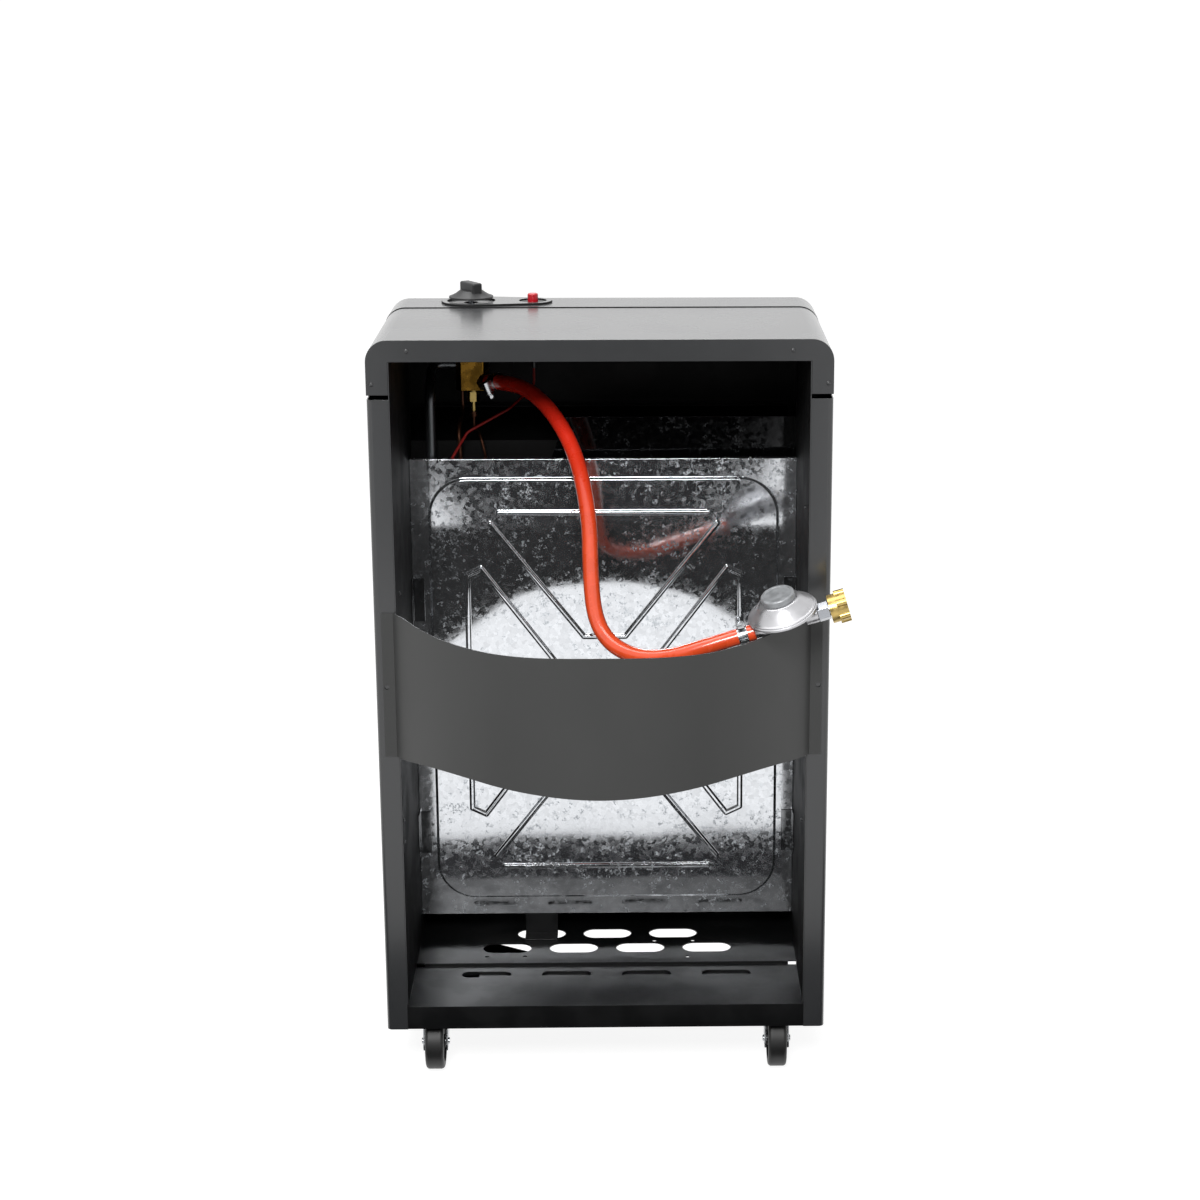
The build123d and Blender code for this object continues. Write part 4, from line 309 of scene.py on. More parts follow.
def box_round(middle, size, turn=0.0):
    """A box round its middle, turned about Z."""
    deselect()
    bpy.ops.mesh.primitive_cube_add(size=1, location=middle, rotation=(0, 0, turn), scale=size)
    return shape_applied()


def rod_along_y(sides, radius, length, middle):
    """A rod that lies along Y, before its place is applied."""
    deselect()
    bpy.ops.mesh.primitive_cylinder_add(
        vertices=sides, radius=radius, depth=length, rotation=(math.radians(90), 0, 0),
        location=middle)
    return bpy.context.object


def turned(name, profile, steps):
    """A closed solid turned about Z. Its profile of (radius, height) in millimetres starts and
    ends on the axis."""
    points = [Vector((radius * MM, 0, height * MM)) for radius, height in profile]
    deselect()
    bpy.ops.mesh.primitive_plane_add(size=MM)
    piece = bpy.context.object
    piece.name = name
    bpy.ops.object.mode_set(mode="EDIT")
    bpy.ops.mesh.select_mode(type="VERT")
    bpy.ops.mesh.select_all(action="SELECT")
    bpy.ops.mesh.merge(type="CENTER")
    here = points[0]
    bpy.ops.transform.translate(value=here)
    for there in points[1:]:
        bpy.ops.mesh.extrude_region_move(TRANSFORM_OT_translate={"value": there - here})
        here = there
    bpy.ops.mesh.select_all(action="SELECT")
    bpy.ops.mesh.spin(steps=steps, angle=math.tau, center=(0, 0, 0), axis=(0, 0, 1))
    bpy.ops.mesh.select_all(action="SELECT")
    bpy.ops.mesh.remove_doubles(threshold=MERGE)
    bpy.ops.mesh.normals_make_consistent(inside=False)
    bpy.ops.object.mode_set(mode="OBJECT")
    return piece


def joined(name, *pieces):
    """Several solids as one object."""
    deselect()
    for piece in pieces:
        piece.select_set(True)
    bpy.context.view_layer.objects.active = pieces[0]
    bpy.ops.object.join()
    pieces[0].name = name
    return pieces[0]


def axes(origin, along, across):
    """A matrix whose Z runs along a direction, and whose X leans towards another."""
    z = Vector(along).normalized()
    x = Vector(across)
    x = (x - z * x.dot(z)).normalized()
    y = z.cross(x)
    matrix = Matrix((x, y, z)).transposed().to_4x4()
    matrix.translation = Vector(origin)
    return matrix


# ------------------------------ effects
def effect(name, inputs, outputs):
    """A node group with named sockets, what it is given and what it puts out."""
    group = bpy.data.node_groups.new(name, "ShaderNodeTree")
    for socket, kind, default in inputs:
        made = group.interface.new_socket(socket, in_out="INPUT", socket_type=kind)
        if default is not None:
            made.default_value = default
    for socket in outputs:
        group.interface.new_socket(socket, in_out="OUTPUT", socket_type="NodeSocketFloat")
    entry = group.nodes.new("NodeGroupInput")
    leave = group.nodes.new("NodeGroupOutput")
    return group, entry.outputs, leave.inputs


def math_node(tree, operation, first, second=None):
    node = tree.nodes.new("ShaderNodeMath")
    node.operation = operation
    for value, socket in ((first, node.inputs[0]), (second, node.inputs[1])):
        if isinstance(value, bpy.types.NodeSocket):
            tree.links.new(value, socket)
        elif value is not None:
            socket.default_value = value
    return node.outputs[0]


def noise_node(tree, vector, scale, detail=3.0):
    node = tree.nodes.new("ShaderNodeTexNoise")
    tree.links.new(vector, node.inputs["Vector"])
    if isinstance(scale, bpy.types.NodeSocket):
        tree.links.new(scale, node.inputs["Scale"])
    else:
        node.inputs["Scale"].default_value = scale
    node.inputs["Detail"].default_value = detail
    node.inputs["Roughness"].default_value = NOISE_ROUGHNESS
    return node


def range_node(tree, value, low, high, to_low=0.0, to_high=1.0):
    node = tree.nodes.new("ShaderNodeMapRange")
    node.interpolation_type = "SMOOTHSTEP"
    tree.links.new(value, node.inputs["Value"])
    node.inputs["From Min"].default_value = low
    node.inputs["From Max"].default_value = high
    node.inputs["To Min"].default_value = to_low
    node.inputs["To Max"].default_value = to_high
    return node.outputs["Result"]


def grain_effect():
    """Fine surface texture and a slow patchy mask."""
    found = bpy.data.node_groups.get("surface_grain")
    if found:
        return found
    group, given, result = effect(
        "surface_grain",
        [("Vector", "NodeSocketVector", None), ("Grain", "NodeSocketFloat", 900.0),
         ("Patch", "NodeSocketFloat", 14.0)],
        ["Height", "Patches"],
    )
    fine = noise_node(group, given["Vector"], given["Grain"], detail=2.0)
    slow = noise_node(group, given["Vector"], given["Patch"], detail=4.0)
    group.links.new(fine.outputs["Fac"], result["Height"])
    group.links.new(range_node(group, slow.outputs["Fac"], 0.35, 0.68), result["Patches"])
    return group


def spangle_effect():
    """Zinc crystals: a tone for each cell, sparse pale flecks and the height of the cells."""
    found = bpy.data.node_groups.get("zinc_spangle")
    if found:
        return found
    group, given, result = effect(
        "zinc_spangle",
        [("Vector", "NodeSocketVector", None), ("Cells", "NodeSocketFloat", 150.0)],
        ["Tone", "Flecks", "Height"],
    )
    wobble = noise_node(group, given["Vector"], 260.0, detail=3.0)
    bend = group.nodes.new("ShaderNodeVectorMath")
    bend.operation = "MULTIPLY_ADD"
    group.links.new(wobble.outputs["Color"], bend.inputs[0])
    bend.inputs[1].default_value = (CELL_BEND, CELL_BEND, CELL_BEND)
    group.links.new(given["Vector"], bend.inputs[2])
    cells = group.nodes.new("ShaderNodeTexVoronoi")
    cells.feature = "F1"
    group.links.new(bend.outputs[0], cells.inputs["Vector"])
    group.links.new(given["Cells"], cells.inputs["Scale"])
    split = group.nodes.new("ShaderNodeSeparateColor")
    group.links.new(cells.outputs["Color"], split.inputs["Color"])
    clumps = noise_node(group, given["Vector"], 26.0, detail=3.0)
    chance = math_node(group, "ADD", split.outputs["Red"], clumps.outputs["Fac"])
    flecks = range_node(group, chance, *FLECK_CHANCE)
    ragged = noise_node(group, given["Vector"], 420.0, detail=4.0)
    torn = range_node(group, ragged.outputs["Fac"], *FLECK_EDGE)
    group.links.new(split.outputs["Green"], result["Tone"])
    group.links.new(math_node(group, "MULTIPLY", flecks, torn), result["Flecks"])
    group.links.new(split.outputs["Blue"], result["Height"])
    return group


# ------------------------------ materials
def made_before(name):
    """The finish of that name, where another piece has it already."""
    return bpy.data.materials.get(f"{name}_finish")


def start_material(name):
    """A new material, its tree, its shader and the Object coordinates."""
    material = bpy.data.materials.new(f"{name}_finish")
    material.use_nodes = True
    tree = material.node_tree
    shader = tree.nodes["Principled BSDF"]
    place = tree.nodes.new("ShaderNodeTexCoord").outputs["Object"]
    return material, tree, shader, place


def use_effect(tree, group, place, **values):
    node = tree.nodes.new("ShaderNodeGroup")
    node.node_tree = group
    tree.links.new(place, node.inputs["Vector"])
    for name, value in values.items():
        node.inputs[name].default_value = value
    return node.outputs


def blend_colour(tree, mask, first, second):
    """From one colour to another by a mask. Each is three numbers or another node's output."""
    node = tree.nodes.new("ShaderNodeMix")
    node.data_type = "RGBA"
    tree.links.new(mask, node.inputs["Factor"])
    for value, socket in ((first, node.inputs["A"]), (second, node.inputs["B"])):
        if isinstance(value, bpy.types.NodeSocket):
            tree.links.new(value, socket)
        else:
            socket.default_value = (*value, 1.0)
    return node.outputs["Result"]


def raise_surface(tree, shader, height, strength, distance):
    bump = tree.nodes.new("ShaderNodeBump")
    bump.inputs["Strength"].default_value = strength
    bump.inputs["Distance"].default_value = distance
    tree.links.new(height, bump.inputs["Height"])
    tree.links.new(bump.outputs["Normal"], shader.inputs["Normal"])


def linear(colour):
    """A colour of the screen, from 0 to 1, as light."""
    return tuple((c / 12.92) if c <= 0.04045 else ((c + 0.055) / 1.055) ** 2.4 for c in colour[:3])


def shaded(colour, factor):
    return tuple(c * factor for c in colour)


def grained(name, colour, rough, spread=0.08, metal=0.0, grain=900.0, patch=14.0,
            strength=0.15, depth=0.05 * MM, vary=0.12, coat=0.0, coat_rough=0.2, gloss=0.5):
    """A finish with fine grain and slow patches, for paint, plastic, rubber and plain metal."""
    found = made_before(name)
    if found:
        return found
    material, tree, shader, place = start_material(name)
    grain_out = use_effect(tree, grain_effect(), place, Grain=grain, Patch=patch)
    base = linear(colour)
    tint = blend_colour(
        tree, grain_out["Patches"], shaded(base, 1 - vary), shaded(base, 1 + vary))
    tree.links.new(tint, shader.inputs["Base Color"])
    uneven = range_node(
        tree, grain_out["Patches"], 0.0, 1.0, rough - spread / 2, rough + spread / 2)
    tree.links.new(uneven, shader.inputs["Roughness"])
    shader.inputs["Metallic"].default_value = metal
    shader.inputs["Specular IOR Level"].default_value = gloss
    shader.inputs["Coat Weight"].default_value = coat
    shader.inputs["Coat Roughness"].default_value = coat_rough
    raise_surface(tree, shader, grain_out["Height"], strength, depth)
    return material


def galvanised(looks, name="galvanised_sheet", shade=1.0):
    """Spangled zinc: mirror-like cells with rough pale flecks."""
    found = made_before(name)
    if found:
        return found
    material, tree, shader, place = start_material(name)
    zinc = use_effect(tree, spangle_effect(), place, Cells=looks.spangle_cells)
    base = shaded(linear(looks.zinc_colour), shade)
    tone = blend_colour(tree, zinc["Tone"], shaded(base, DARKEST_CELL), base)
    fleck = shaded(linear(looks.fleck_colour), shade)
    colour = blend_colour(tree, zinc["Flecks"], tone, fleck)
    tree.links.new(colour, shader.inputs["Base Color"])
    metal = range_node(tree, zinc["Flecks"], 0.0, 1.0, *ZINC_METAL)
    tree.links.new(metal, shader.inputs["Metallic"])
    smooth = range_node(tree, zinc["Tone"], 0.0, 1.0, *ZINC_ROUGHNESS)
    rough = math_node(tree, "MULTIPLY_ADD", zinc["Flecks"], FLECK_ROUGHNESS)
    tree.links.new(smooth, rough.node.inputs[2])
    tree.links.new(rough, shader.inputs["Roughness"])
    cells = math_node(tree, "MULTIPLY", zinc["Height"], CELL_HEIGHT)
    height = math_node(tree, "ADD", cells, bulge(tree, place, looks))
    raise_surface(tree, shader, height, 1.0, 1.0)
    return material


def bulge(tree, place, looks):
    """Height in metres of the shield's swell below its middle rib, with a few slow waves."""
    split = tree.nodes.new("ShaderNodeSeparateXYZ")
    tree.links.new(place, split.inputs[0])
    rise = range_node(tree, split.outputs["Z"], *SWELL_RISE)
    fall = range_node(tree, split.outputs["Z"], *SWELL_FALL, 1.0, 0.0)
    upright = math_node(tree, "MULTIPLY", rise, fall)
    from_middle = math_node(tree, "ABSOLUTE", split.outputs["X"])
    across = range_node(tree, from_middle, *SWELL_SIDES, 1.0, 0.0)
    swell = math_node(tree, "MULTIPLY", upright, across)
    swell = math_node(tree, "MULTIPLY", swell, looks.shield_swell)
    waves = noise_node(tree, place, WAVE_SCALE, detail=1.0)
    slow = math_node(tree, "MULTIPLY", waves.outputs["Fac"], WAVE_HEIGHT)
    return math_node(tree, "ADD", slow, swell)


def flame_holes(looks):
    """Pale ceramic with rows of fine holes, darkened as painted shade in their hollows."""
    found = made_before("plaque_ceramic")
    if found:
        return found
    material, tree, shader, place = start_material("plaque_ceramic")
    split = tree.nodes.new("ShaderNodeSeparateXYZ")
    tree.links.new(place, split.inputs[0])
    squares = []
    for axis in ("X", "Z"):
        cell = math_node(tree, "PINGPONG", split.outputs[axis], HOLE_SPACING)
        squares.append(math_node(tree, "POWER", cell, 2.0))
    away = math_node(tree, "SQRT", math_node(tree, "ADD", *squares))
    web = range_node(tree, away, *HOLE_EDGE)
    base = linear(looks.ceramic_colour)
    colour = blend_colour(tree, web, shaded(base, HOLE_SHADE), base)
    tree.links.new(colour, shader.inputs["Base Color"])
    shader.inputs["Roughness"].default_value = 0.85
    raise_surface(tree, shader, web, 0.8, HOLE_DEPTH)
    return material


# finish: colour, roughness, and what sets it apart. A word names one of the user's choices.
FINISHES = {
    "cabinet_paint": ("cabinet_colour", "cabinet_roughness", dict(
        spread=0.05, grain=1400.0, strength=0.10, vary=0.05, coat=1.0, gloss=0.25)),
    "band_paint": ("band_colour", 0.50, dict(
        spread=0.05, grain=1400.0, strength=0.10, vary=0.04, coat=0.2, coat_rough=0.3, gloss=0.3)),
    # darker paint for the faces inside the cabinet: painted shade
    "liner_paint": ("liner_colour", 0.58, dict(spread=0.10, patch=20.0, vary=0.10, gloss=0.12)),
    "dull_black": ((0.05, 0.05, 0.05), 0.60, dict(grain=1500.0, vary=0.06, gloss=0.2)),
    # a darker copy of the brass for the valve body: painted shade under the hood
    "valve_brass": ((0.50, 0.37, 0.14), 0.26, dict(
        spread=0.14, metal=1.0, grain=700.0, patch=60.0, strength=0.4, depth=0.08 * MM, vary=0.18)),
    "base_paint": ("base_colour", 0.34, dict(
        spread=0.12, grain=700.0, patch=30.0, vary=0.10, coat=0.2, coat_rough=0.12, gloss=0.25)),
    "aluminised_sheet": ("zinc_colour", 0.34, dict(
        spread=0.12, metal=1.0, grain=500.0, patch=24.0, vary=0.10)),
    "zinc_hardware": ((0.74, 0.75, 0.76), 0.24, dict(
        spread=0.12, metal=1.0, grain=1200.0, patch=90.0, vary=0.08)),
    "brass_fittings": ("brass_colour", 0.34, dict(
        spread=0.14, metal=1.0, grain=1500.0, patch=120.0, vary=0.14)),
    "guard_wire": ((0.86, 0.86, 0.87), 0.12, dict(
        spread=0.06, metal=1.0, grain=1200.0, vary=0.05)),
    "burner_casing": ((0.25, 0.25, 0.26), 0.60, dict(spread=0.12, grain=800.0, vary=0.15)),
    "pipe_steel": ((0.34, 0.35, 0.36), 0.30, dict(spread=0.12, metal=0.85)),
    "copper_line": ((0.30, 0.19, 0.14), 0.36, dict(spread=0.14, metal=0.9, vary=0.20)),
    "electrode_ceramic": ((0.92, 0.90, 0.86), 0.22, dict(spread=0.06, grain=600.0, vary=0.04)),
    # the lead's red, darkened: partly its own colour, partly painted shade inside the cabinet
    "lead_insulation": ((0.50, 0.06, 0.04), 0.45, dict(grain=1200.0, vary=0.08, gloss=0.3)),
    "spindle_steel": ((0.66, 0.67, 0.69), 0.24, dict(
        spread=0.10, metal=1.0, grain=1400.0, vary=0.06)),
    "knob_plastic": ("knob_colour", 0.42, dict(
        spread=0.10, grain=2200.0, strength=0.25, vary=0.06, gloss=0.4)),
    "igniter_plastic": ((0.06, 0.06, 0.06), 0.38, dict(spread=0.10, grain=1800.0, vary=0.06)),
    "button_plastic": ("button_colour", 0.25, dict(
        spread=0.06, grain=1500.0, vary=0.05, coat=0.3)),
    "hose_rubber": ("hose_colour", 0.30, dict(
        spread=0.10, grain=700.0, patch=60.0, vary=0.05, coat=0.8, coat_rough=0.06)),
    "regulator_casting": ((0.76, 0.76, 0.77), 0.32, dict(
        spread=0.12, metal=0.8, grain=1500.0, patch=70.0, strength=0.35, vary=0.06)),
    "regulator_cap": ((0.62, 0.63, 0.64), 0.42, dict(
        spread=0.14, metal=0.25, grain=1300.0, patch=160.0, strength=0.6, depth=0.1 * MM)),
    "wheel_plastic": ((0.09, 0.09, 0.09), 0.50, dict(spread=0.10, grain=1300.0, vary=0.08)),
    "dark_cloth": ((0.10, 0.10, 0.11), 0.9, dict(grain=200.0, gloss=0.1)),
}


def finish(name):
    """A grained finish of the table, with the user's choices where it names them."""
    looks = bpy.context.scene.heater_looks
    colour, rough, rest = FINISHES[name]
    colour, rough = (getattr(looks, v) if isinstance(v, str) else v for v in (colour, rough))
    return grained(name, colour, rough, **rest)


def hose_rubber(looks):
    """Glossy rubber, turned a deeper red towards the valve as painted shade under the hood."""
    found = made_before("hose_rubber")
    if found:
        return found
    rubber = finish("hose_rubber")
    tree = rubber.node_tree
    shader = tree.nodes["Principled BSDF"]
    split = tree.nodes.new("ShaderNodeSeparateXYZ")
    tree.links.new(tree.nodes["Texture Coordinate"].outputs["Object"], split.inputs[0])
    shaded_top = range_node(tree, split.outputs["Z"], *HOSE_SHADE_RISE)
    plain = shader.inputs["Base Color"].links[0].from_socket
    colour = blend_colour(tree, shaded_top, plain, linear(looks.hose_deep_colour))
    tree.links.new(colour, shader.inputs["Base Color"])
    return rubber


# ------------------------------ what a user would change
class HeaterLooks(bpy.types.PropertyGroup):
    """Colours and finishes of the heater."""
    cabinet_colour: bpy.props.FloatVectorProperty(
        name="Cabinet", description="Powder coat of the cabinet", subtype="COLOR_GAMMA",
        default=(0.180, 0.184, 0.190), min=0.0, max=1.0)
    band_colour: bpy.props.FloatVectorProperty(
        name="Band", description="Satin coat of the retaining band", subtype="COLOR_GAMMA",
        default=(0.235, 0.237, 0.235), min=0.0, max=1.0)
    # darker paint for the faces inside the cabinet: painted shade
    liner_colour: bpy.props.FloatVectorProperty(
        name="Inside", description="Paint of the faces that look into the cabinet",
        subtype="COLOR_GAMMA", default=(0.045, 0.045, 0.047), min=0.0, max=1.0)
    cabinet_roughness: bpy.props.FloatProperty(
        name="Cabinet roughness", description="How dull the powder coat is",
        default=0.42, min=0.05, max=1.0)
    base_colour: bpy.props.FloatVectorProperty(
        name="Base", description="Enamel of the floor and its strip", subtype="COLOR_GAMMA",
        default=(0.06, 0.062, 0.065), min=0.0, max=1.0)
    zinc_colour: bpy.props.FloatVectorProperty(
        name="Zinc", description="Galvanised and plated steel", subtype="COLOR_GAMMA",
        default=(0.87, 0.88, 0.895), min=0.0, max=1.0)
    fleck_colour: bpy.props.FloatVectorProperty(
        name="Flecks", description="Dull flecks of the zinc", subtype="COLOR_GAMMA",
        default=(0.78, 0.80, 0.82), min=0.0, max=1.0)
    spangle_cells: bpy.props.FloatProperty(
        name="Spangle", description="Zinc crystals in a metre", default=240.0, min=20.0, max=600.0)
    shield_swell: bpy.props.FloatProperty(
        name="Shield swell", description="How far the shield's sheet swells above its middle",
        default=0.0045, min=0.0, max=0.02, unit="LENGTH")
    brass_colour: bpy.props.FloatVectorProperty(
        name="Brass", description="Valve, fittings and hand wheel", subtype="COLOR_GAMMA",
        default=(0.75, 0.65, 0.40), min=0.0, max=1.0)
    knob_colour: bpy.props.FloatVectorProperty(
        name="Knob", description="Control knob", subtype="COLOR_GAMMA",
        default=(0.125, 0.125, 0.13), min=0.0, max=1.0)
    button_colour: bpy.props.FloatVectorProperty(
        name="Button", description="Igniter button", subtype="COLOR_GAMMA",
        default=(0.74, 0.07, 0.13), min=0.0, max=1.0)
    hose_colour: bpy.props.FloatVectorProperty(
        name="Hose", description="Rubber of the gas hose", subtype="COLOR_GAMMA",
        default=(0.97, 0.34, 0.17), min=0.0, max=1.0)
    # deeper red of the hose's upper end: painted shade under the hood
    hose_deep_colour: bpy.props.FloatVectorProperty(
        name="Hose at the valve", description="Deeper red of the hose's upper end",
        subtype="COLOR_GAMMA", default=(0.93, 0.17, 0.10), min=0.0, max=1.0)
    ceramic_colour: bpy.props.FloatVectorProperty(
        name="Plaques", description="Ceramic of the burner plaques", subtype="COLOR_GAMMA",
        default=(0.88, 0.84, 0.77), min=0.0, max=1.0)


class HeaterStage(bpy.types.PropertyGroup):
    """Floor, backdrop and light."""
    floor_colour: bpy.props.FloatVectorProperty(
        name="Floor", description="Pale floor", subtype="COLOR_GAMMA",
        default=(0.54, 0.54, 0.54), min=0.0, max=1.0)
    floor_lift: bpy.props.FloatProperty(
        name="Floor lift", description="How far the floor is lifted to white where it is seen",
        default=0.90, min=0.0, max=1.0)
    floor_size: bpy.props.FloatProperty(
        name="Floor size", description="Side of the floor", default=90.0, unit="LENGTH")
    top_power: bpy.props.FloatProperty(
        name="Overhead light", description="Power of the overhead light",
        default=40.0, unit="POWER")
    front_power: bpy.props.FloatProperty(
        name="Front light", description="Power of the light above the camera",
        default=68.0, unit="POWER")
    sky: bpy.props.FloatProperty(
        name="Sky", description="Strength of the world on dull surfaces",
        default=0.20, min=0.0, max=1.0)


# ------------------------------ pieces
def raise_panel():
    """Lifts the top of the control panel a little above the hood, so that its rear edge shows."""
    panel = bpy.data.objects["control_panel_finished"]
    select_only(panel)
    for vertex in panel.data.vertices:
        vertex.select = vertex.co.z > PANEL_SHOULDER
    bpy.ops.object.mode_set(mode="EDIT")
    bpy.ops.mesh.select_mode(type="VERT")
    bpy.ops.transform.translate(value=(0, 0, PANEL_STEP))
    bpy.ops.object.mode_set(mode="OBJECT")


def corner_backing(side, paint):
    """Dark strips behind the gap at a front corner, in the darker inside paint: painted shade."""
    blocks = []
    for corners in BACKING_BLOCKS:
        xs, ys, zs = zip(*corners)
        xs = sorted(side * x for x in xs)
        low, high = Vector((xs[0], ys[0], zs[0])) * MM, Vector((xs[1], ys[1], zs[1])) * MM
        blocks.append(box_round((low + high) / 2, high - low))
    piece = joined("corner_backing_left" if side > 0 else "corner_backing_right", *blocks)
    fitted(painted(piece, paint), "cabinet", "cabinet_paint")


class HEATER_OT_cabinet(bpy.types.Operator):
    """Outer sheets: hood, control panel, sides, liners and front panel"""
    bl_idname = "heater.cabinet"
    bl_label = "Cabinet sheets"

    def execute(self, context):
        paints = finish("cabinet_paint"), finish("liner_paint")
        # inward faces, and the faces in the seam's groove, take the darker paint: painted shade
        for node in ("hood", "control_panel"):
            with_painted_shade(node, "cabinet_paint", *paints, hidden=looks_inward_or_in_groove)
        for node in ("side_panel_left", "side_panel_right", "liner_left", "liner_right",
                     "front_panel"):
            with_painted_shade(node, "cabinet_paint", *paints, bevel=SHEET_EDGE)
        raise_panel()
        for side in (-1, 1):
            corner_backing(side, paints[1])
        return {"FINISHED"}


class HEATER_OT_band(bpy.types.Operator):
    """Retaining band"""
    bl_idname = "heater.band"
    bl_label = "Retaining band"

    def execute(self, context):
        # the band's inner face takes the darker paint: painted shade
        with_painted_shade("retaining_band", "cabinet_paint", finish("band_paint"), finish("liner_paint"))
        return {"FINISHED"}


class HEATER_OT_base(bpy.types.Operator):
    """Bottle floor and the strip that ties the shield to it"""
    bl_idname = "heater.base"
    bl_label = "Base"

    def execute(self, context):
        for node in ("base_tray", "shield_foot"):
            dressed(node, "base_paint")
        return {"FINISHED"}


class HEATER_OT_shield(bpy.types.Operator):
    """Spangled heat shield with its pressed beads, and its brackets"""
    bl_idname = "heater.shield"
    bl_label = "Heat shield"

    def execute(self, context):
        looks = context.scene.heater_looks
        shield = dressed("heat_shield", "galvanised_sheet", galvanised(looks), bevel=BEAD_EDGE,
                         segments=3, angle=75, clamp=False)
        crest = max(vertex.co.y for vertex in shield.data.vertices) - CREST_DEPTH
        shaded_round(shield, lambda f: abs(f.normal.y) > FACING and f.center.y < crest,
                     lambda f: f.normal.y > FACING and f.center.y > crest)
        dressed("shield_brackets", "galvanised_sheet", galvanised(looks, "shaded_sheet", 0.35))
        return {"FINISHED"}


class HEATER_OT_burner(bpy.types.Operator):
    """Burner heads, ceramic plaques and the sheets round them"""
    bl_idname = "heater.burner"
    bl_label = "Burner"

    def execute(self, context):
        looks = context.scene.heater_looks
        # rear faces take the darker inside paint: painted shade
        for node in ("reflector_panels", "burner_back_plate"):
            with_painted_shade(node, "aluminised_sheet", finish("aluminised_sheet"), finish("liner_paint"),
                     looks_rearward)
        # a nearly black copy of the zinc: painted shade inside the cabinet
        dressed("deflector_plate", "galvanised_sheet", galvanised(looks, "sooted_sheet", 0.04))
        for place in ("left", "centre", "right"):
            dressed(f"burner_head_{place}", "burner_casing")
            dressed(f"ceramic_plaque_{place}", "plaque_ceramic", flame_holes(looks))
        return {"FINISHED"}


class HEATER_OT_guard(bpy.types.Operator):
    """Wire guard over the radiant front"""
    bl_idname = "heater.guard"
    bl_label = "Guard"

    def execute(self, context):
        dressed("guard_grille", "guard_wire", bevel=0, angle=50)
        return {"FINISHED"}


class HEATER_OT_pipes(bpy.types.Operator):
    """Feed pipe, manifold, jets and the pilot's lines"""
    bl_idname = "heater.pipes"
    bl_label = "Pipes and lines"

    def execute(self, context):
        for node in ("feed_pipe", "gas_manifold"):
            dressed(node, "pipe_steel", bevel=0, angle=50)
        for node in ("thermocouple", "pilot_pipe"):
            dressed(node, "copper_line", bevel=0, angle=50)
        dressed("injectors", "brass_fittings")
        dressed("ignition_lead", "lead_insulation", bevel=0, angle=50)
        return {"FINISHED"}


class HEATER_OT_pilot(bpy.types.Operator):
    """Pilot burner and spark electrode"""
    bl_idname = "heater.pilot"
    bl_label = "Pilot unit"

    def execute(self, context):
        dressed("pilot_burner", "zinc_hardware")
        dressed("spark_electrode", "electrode_ceramic")
        return {"FINISHED"}


class HEATER_OT_valve(bpy.types.Operator):
    """Brass gas valve with its plug, spindle, magnet unit, tail and bracket"""
    bl_idname = "heater.valve"
    bl_label = "Gas valve"

    def execute(self, context):
        # the valve body takes the darker brass: painted shade
        dressed("gas_valve", "brass_fittings", finish("valve_brass"), bevel=2.0 * MM, segments=4)
        for node in ("magnet_unit", "valve_plug", "hose_tail"):
            dressed(node, "brass_fittings", bevel=0.5 * MM)
        dressed("valve_spindle", "spindle_steel")
        # the bracket takes the darker inside paint: painted shade under the hood
        dressed("valve_bracket", "zinc_hardware", finish("liner_paint"))
        return {"FINISHED"}


class HEATER_OT_controls(bpy.types.Operator):
    """Control knob, its plate and the igniter with its button"""
    bl_idname = "heater.controls"
    bl_label = "Knob and igniter"

    def execute(self, context):
        knob = dressed("control_knob", "knob_plastic", bevel=0.6 * MM, segments=3)
        low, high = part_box("control_knob")
        middle = (low + high) / 2
        middle.z = high.z + GRIP_PROUD - KNOB_GRIP[2] / 2
        grip = bevelled(box_round(middle, KNOB_GRIP, KNOB_TURN), GRIP_EDGE, segments=5)
        joined(knob.name, knob, painted(smoothed(grip), finish("knob_plastic")))
        plate = dressed("escutcheon", "escutcheon_plastic", finish("dull_black"),
                        finish("cabinet_paint"), bevel=0.15 * MM)
        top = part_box("escutcheon")[1].z - 0.2 * MM
        for face in plate.data.polygons:
            face.material_index = int(face.center.z > top and face.normal.z > 0.9)
        dressed("igniter_body", "igniter_plastic")
        dressed("igniter_nut", "igniter_plastic")
        dressed("igniter_button", "button_plastic", bevel=0.5 * MM, segments=3)
        return {"FINISHED"}


def hose_points():
    return [Vector(p) * MM for p in HOSE_ROUTE]


class HEATER_OT_hose(bpy.types.Operator):
    """Gas hose along its route"""
    bl_idname = "heater.hose"
    bl_label = "Gas hose"

    def execute(self, context):
        points = hose_points()
        curve = bpy.data.curves.new("gas_hose_rubber", "CURVE")
        curve.dimensions = "3D"
        spline = curve.splines.new("NURBS")
        spline.points.add(len(points) - 1)
        for knot, point in zip(spline.points, points):
            knot.co = (*point, 1.0)
        spline.order_u = 3
        spline.use_endpoint_u = True
        spline.resolution_u = 24
        curve.resolution_u = 24
        curve.bevel_depth = HOSE_RADIUS
        curve.bevel_resolution = 10
        curve.use_fill_caps = True
        hose = bpy.data.objects.new("gas_hose_rubber", curve)
        context.collection.objects.link(hose)
        painted(hose, hose_rubber(context.scene.heater_looks))
        fitted(hose, "cabinet", "hose_rubber", "gas_hose")
        return {"FINISHED"}


def clip_frame(end, inward, housing, screw_head):
    """The clip's matrix: X towards the screw housing, and Y along the screw to its head."""
    upright = Vector(housing).cross(Vector(screw_head))
    return axes(end + inward * CLIP_SETBACK, upright, housing)


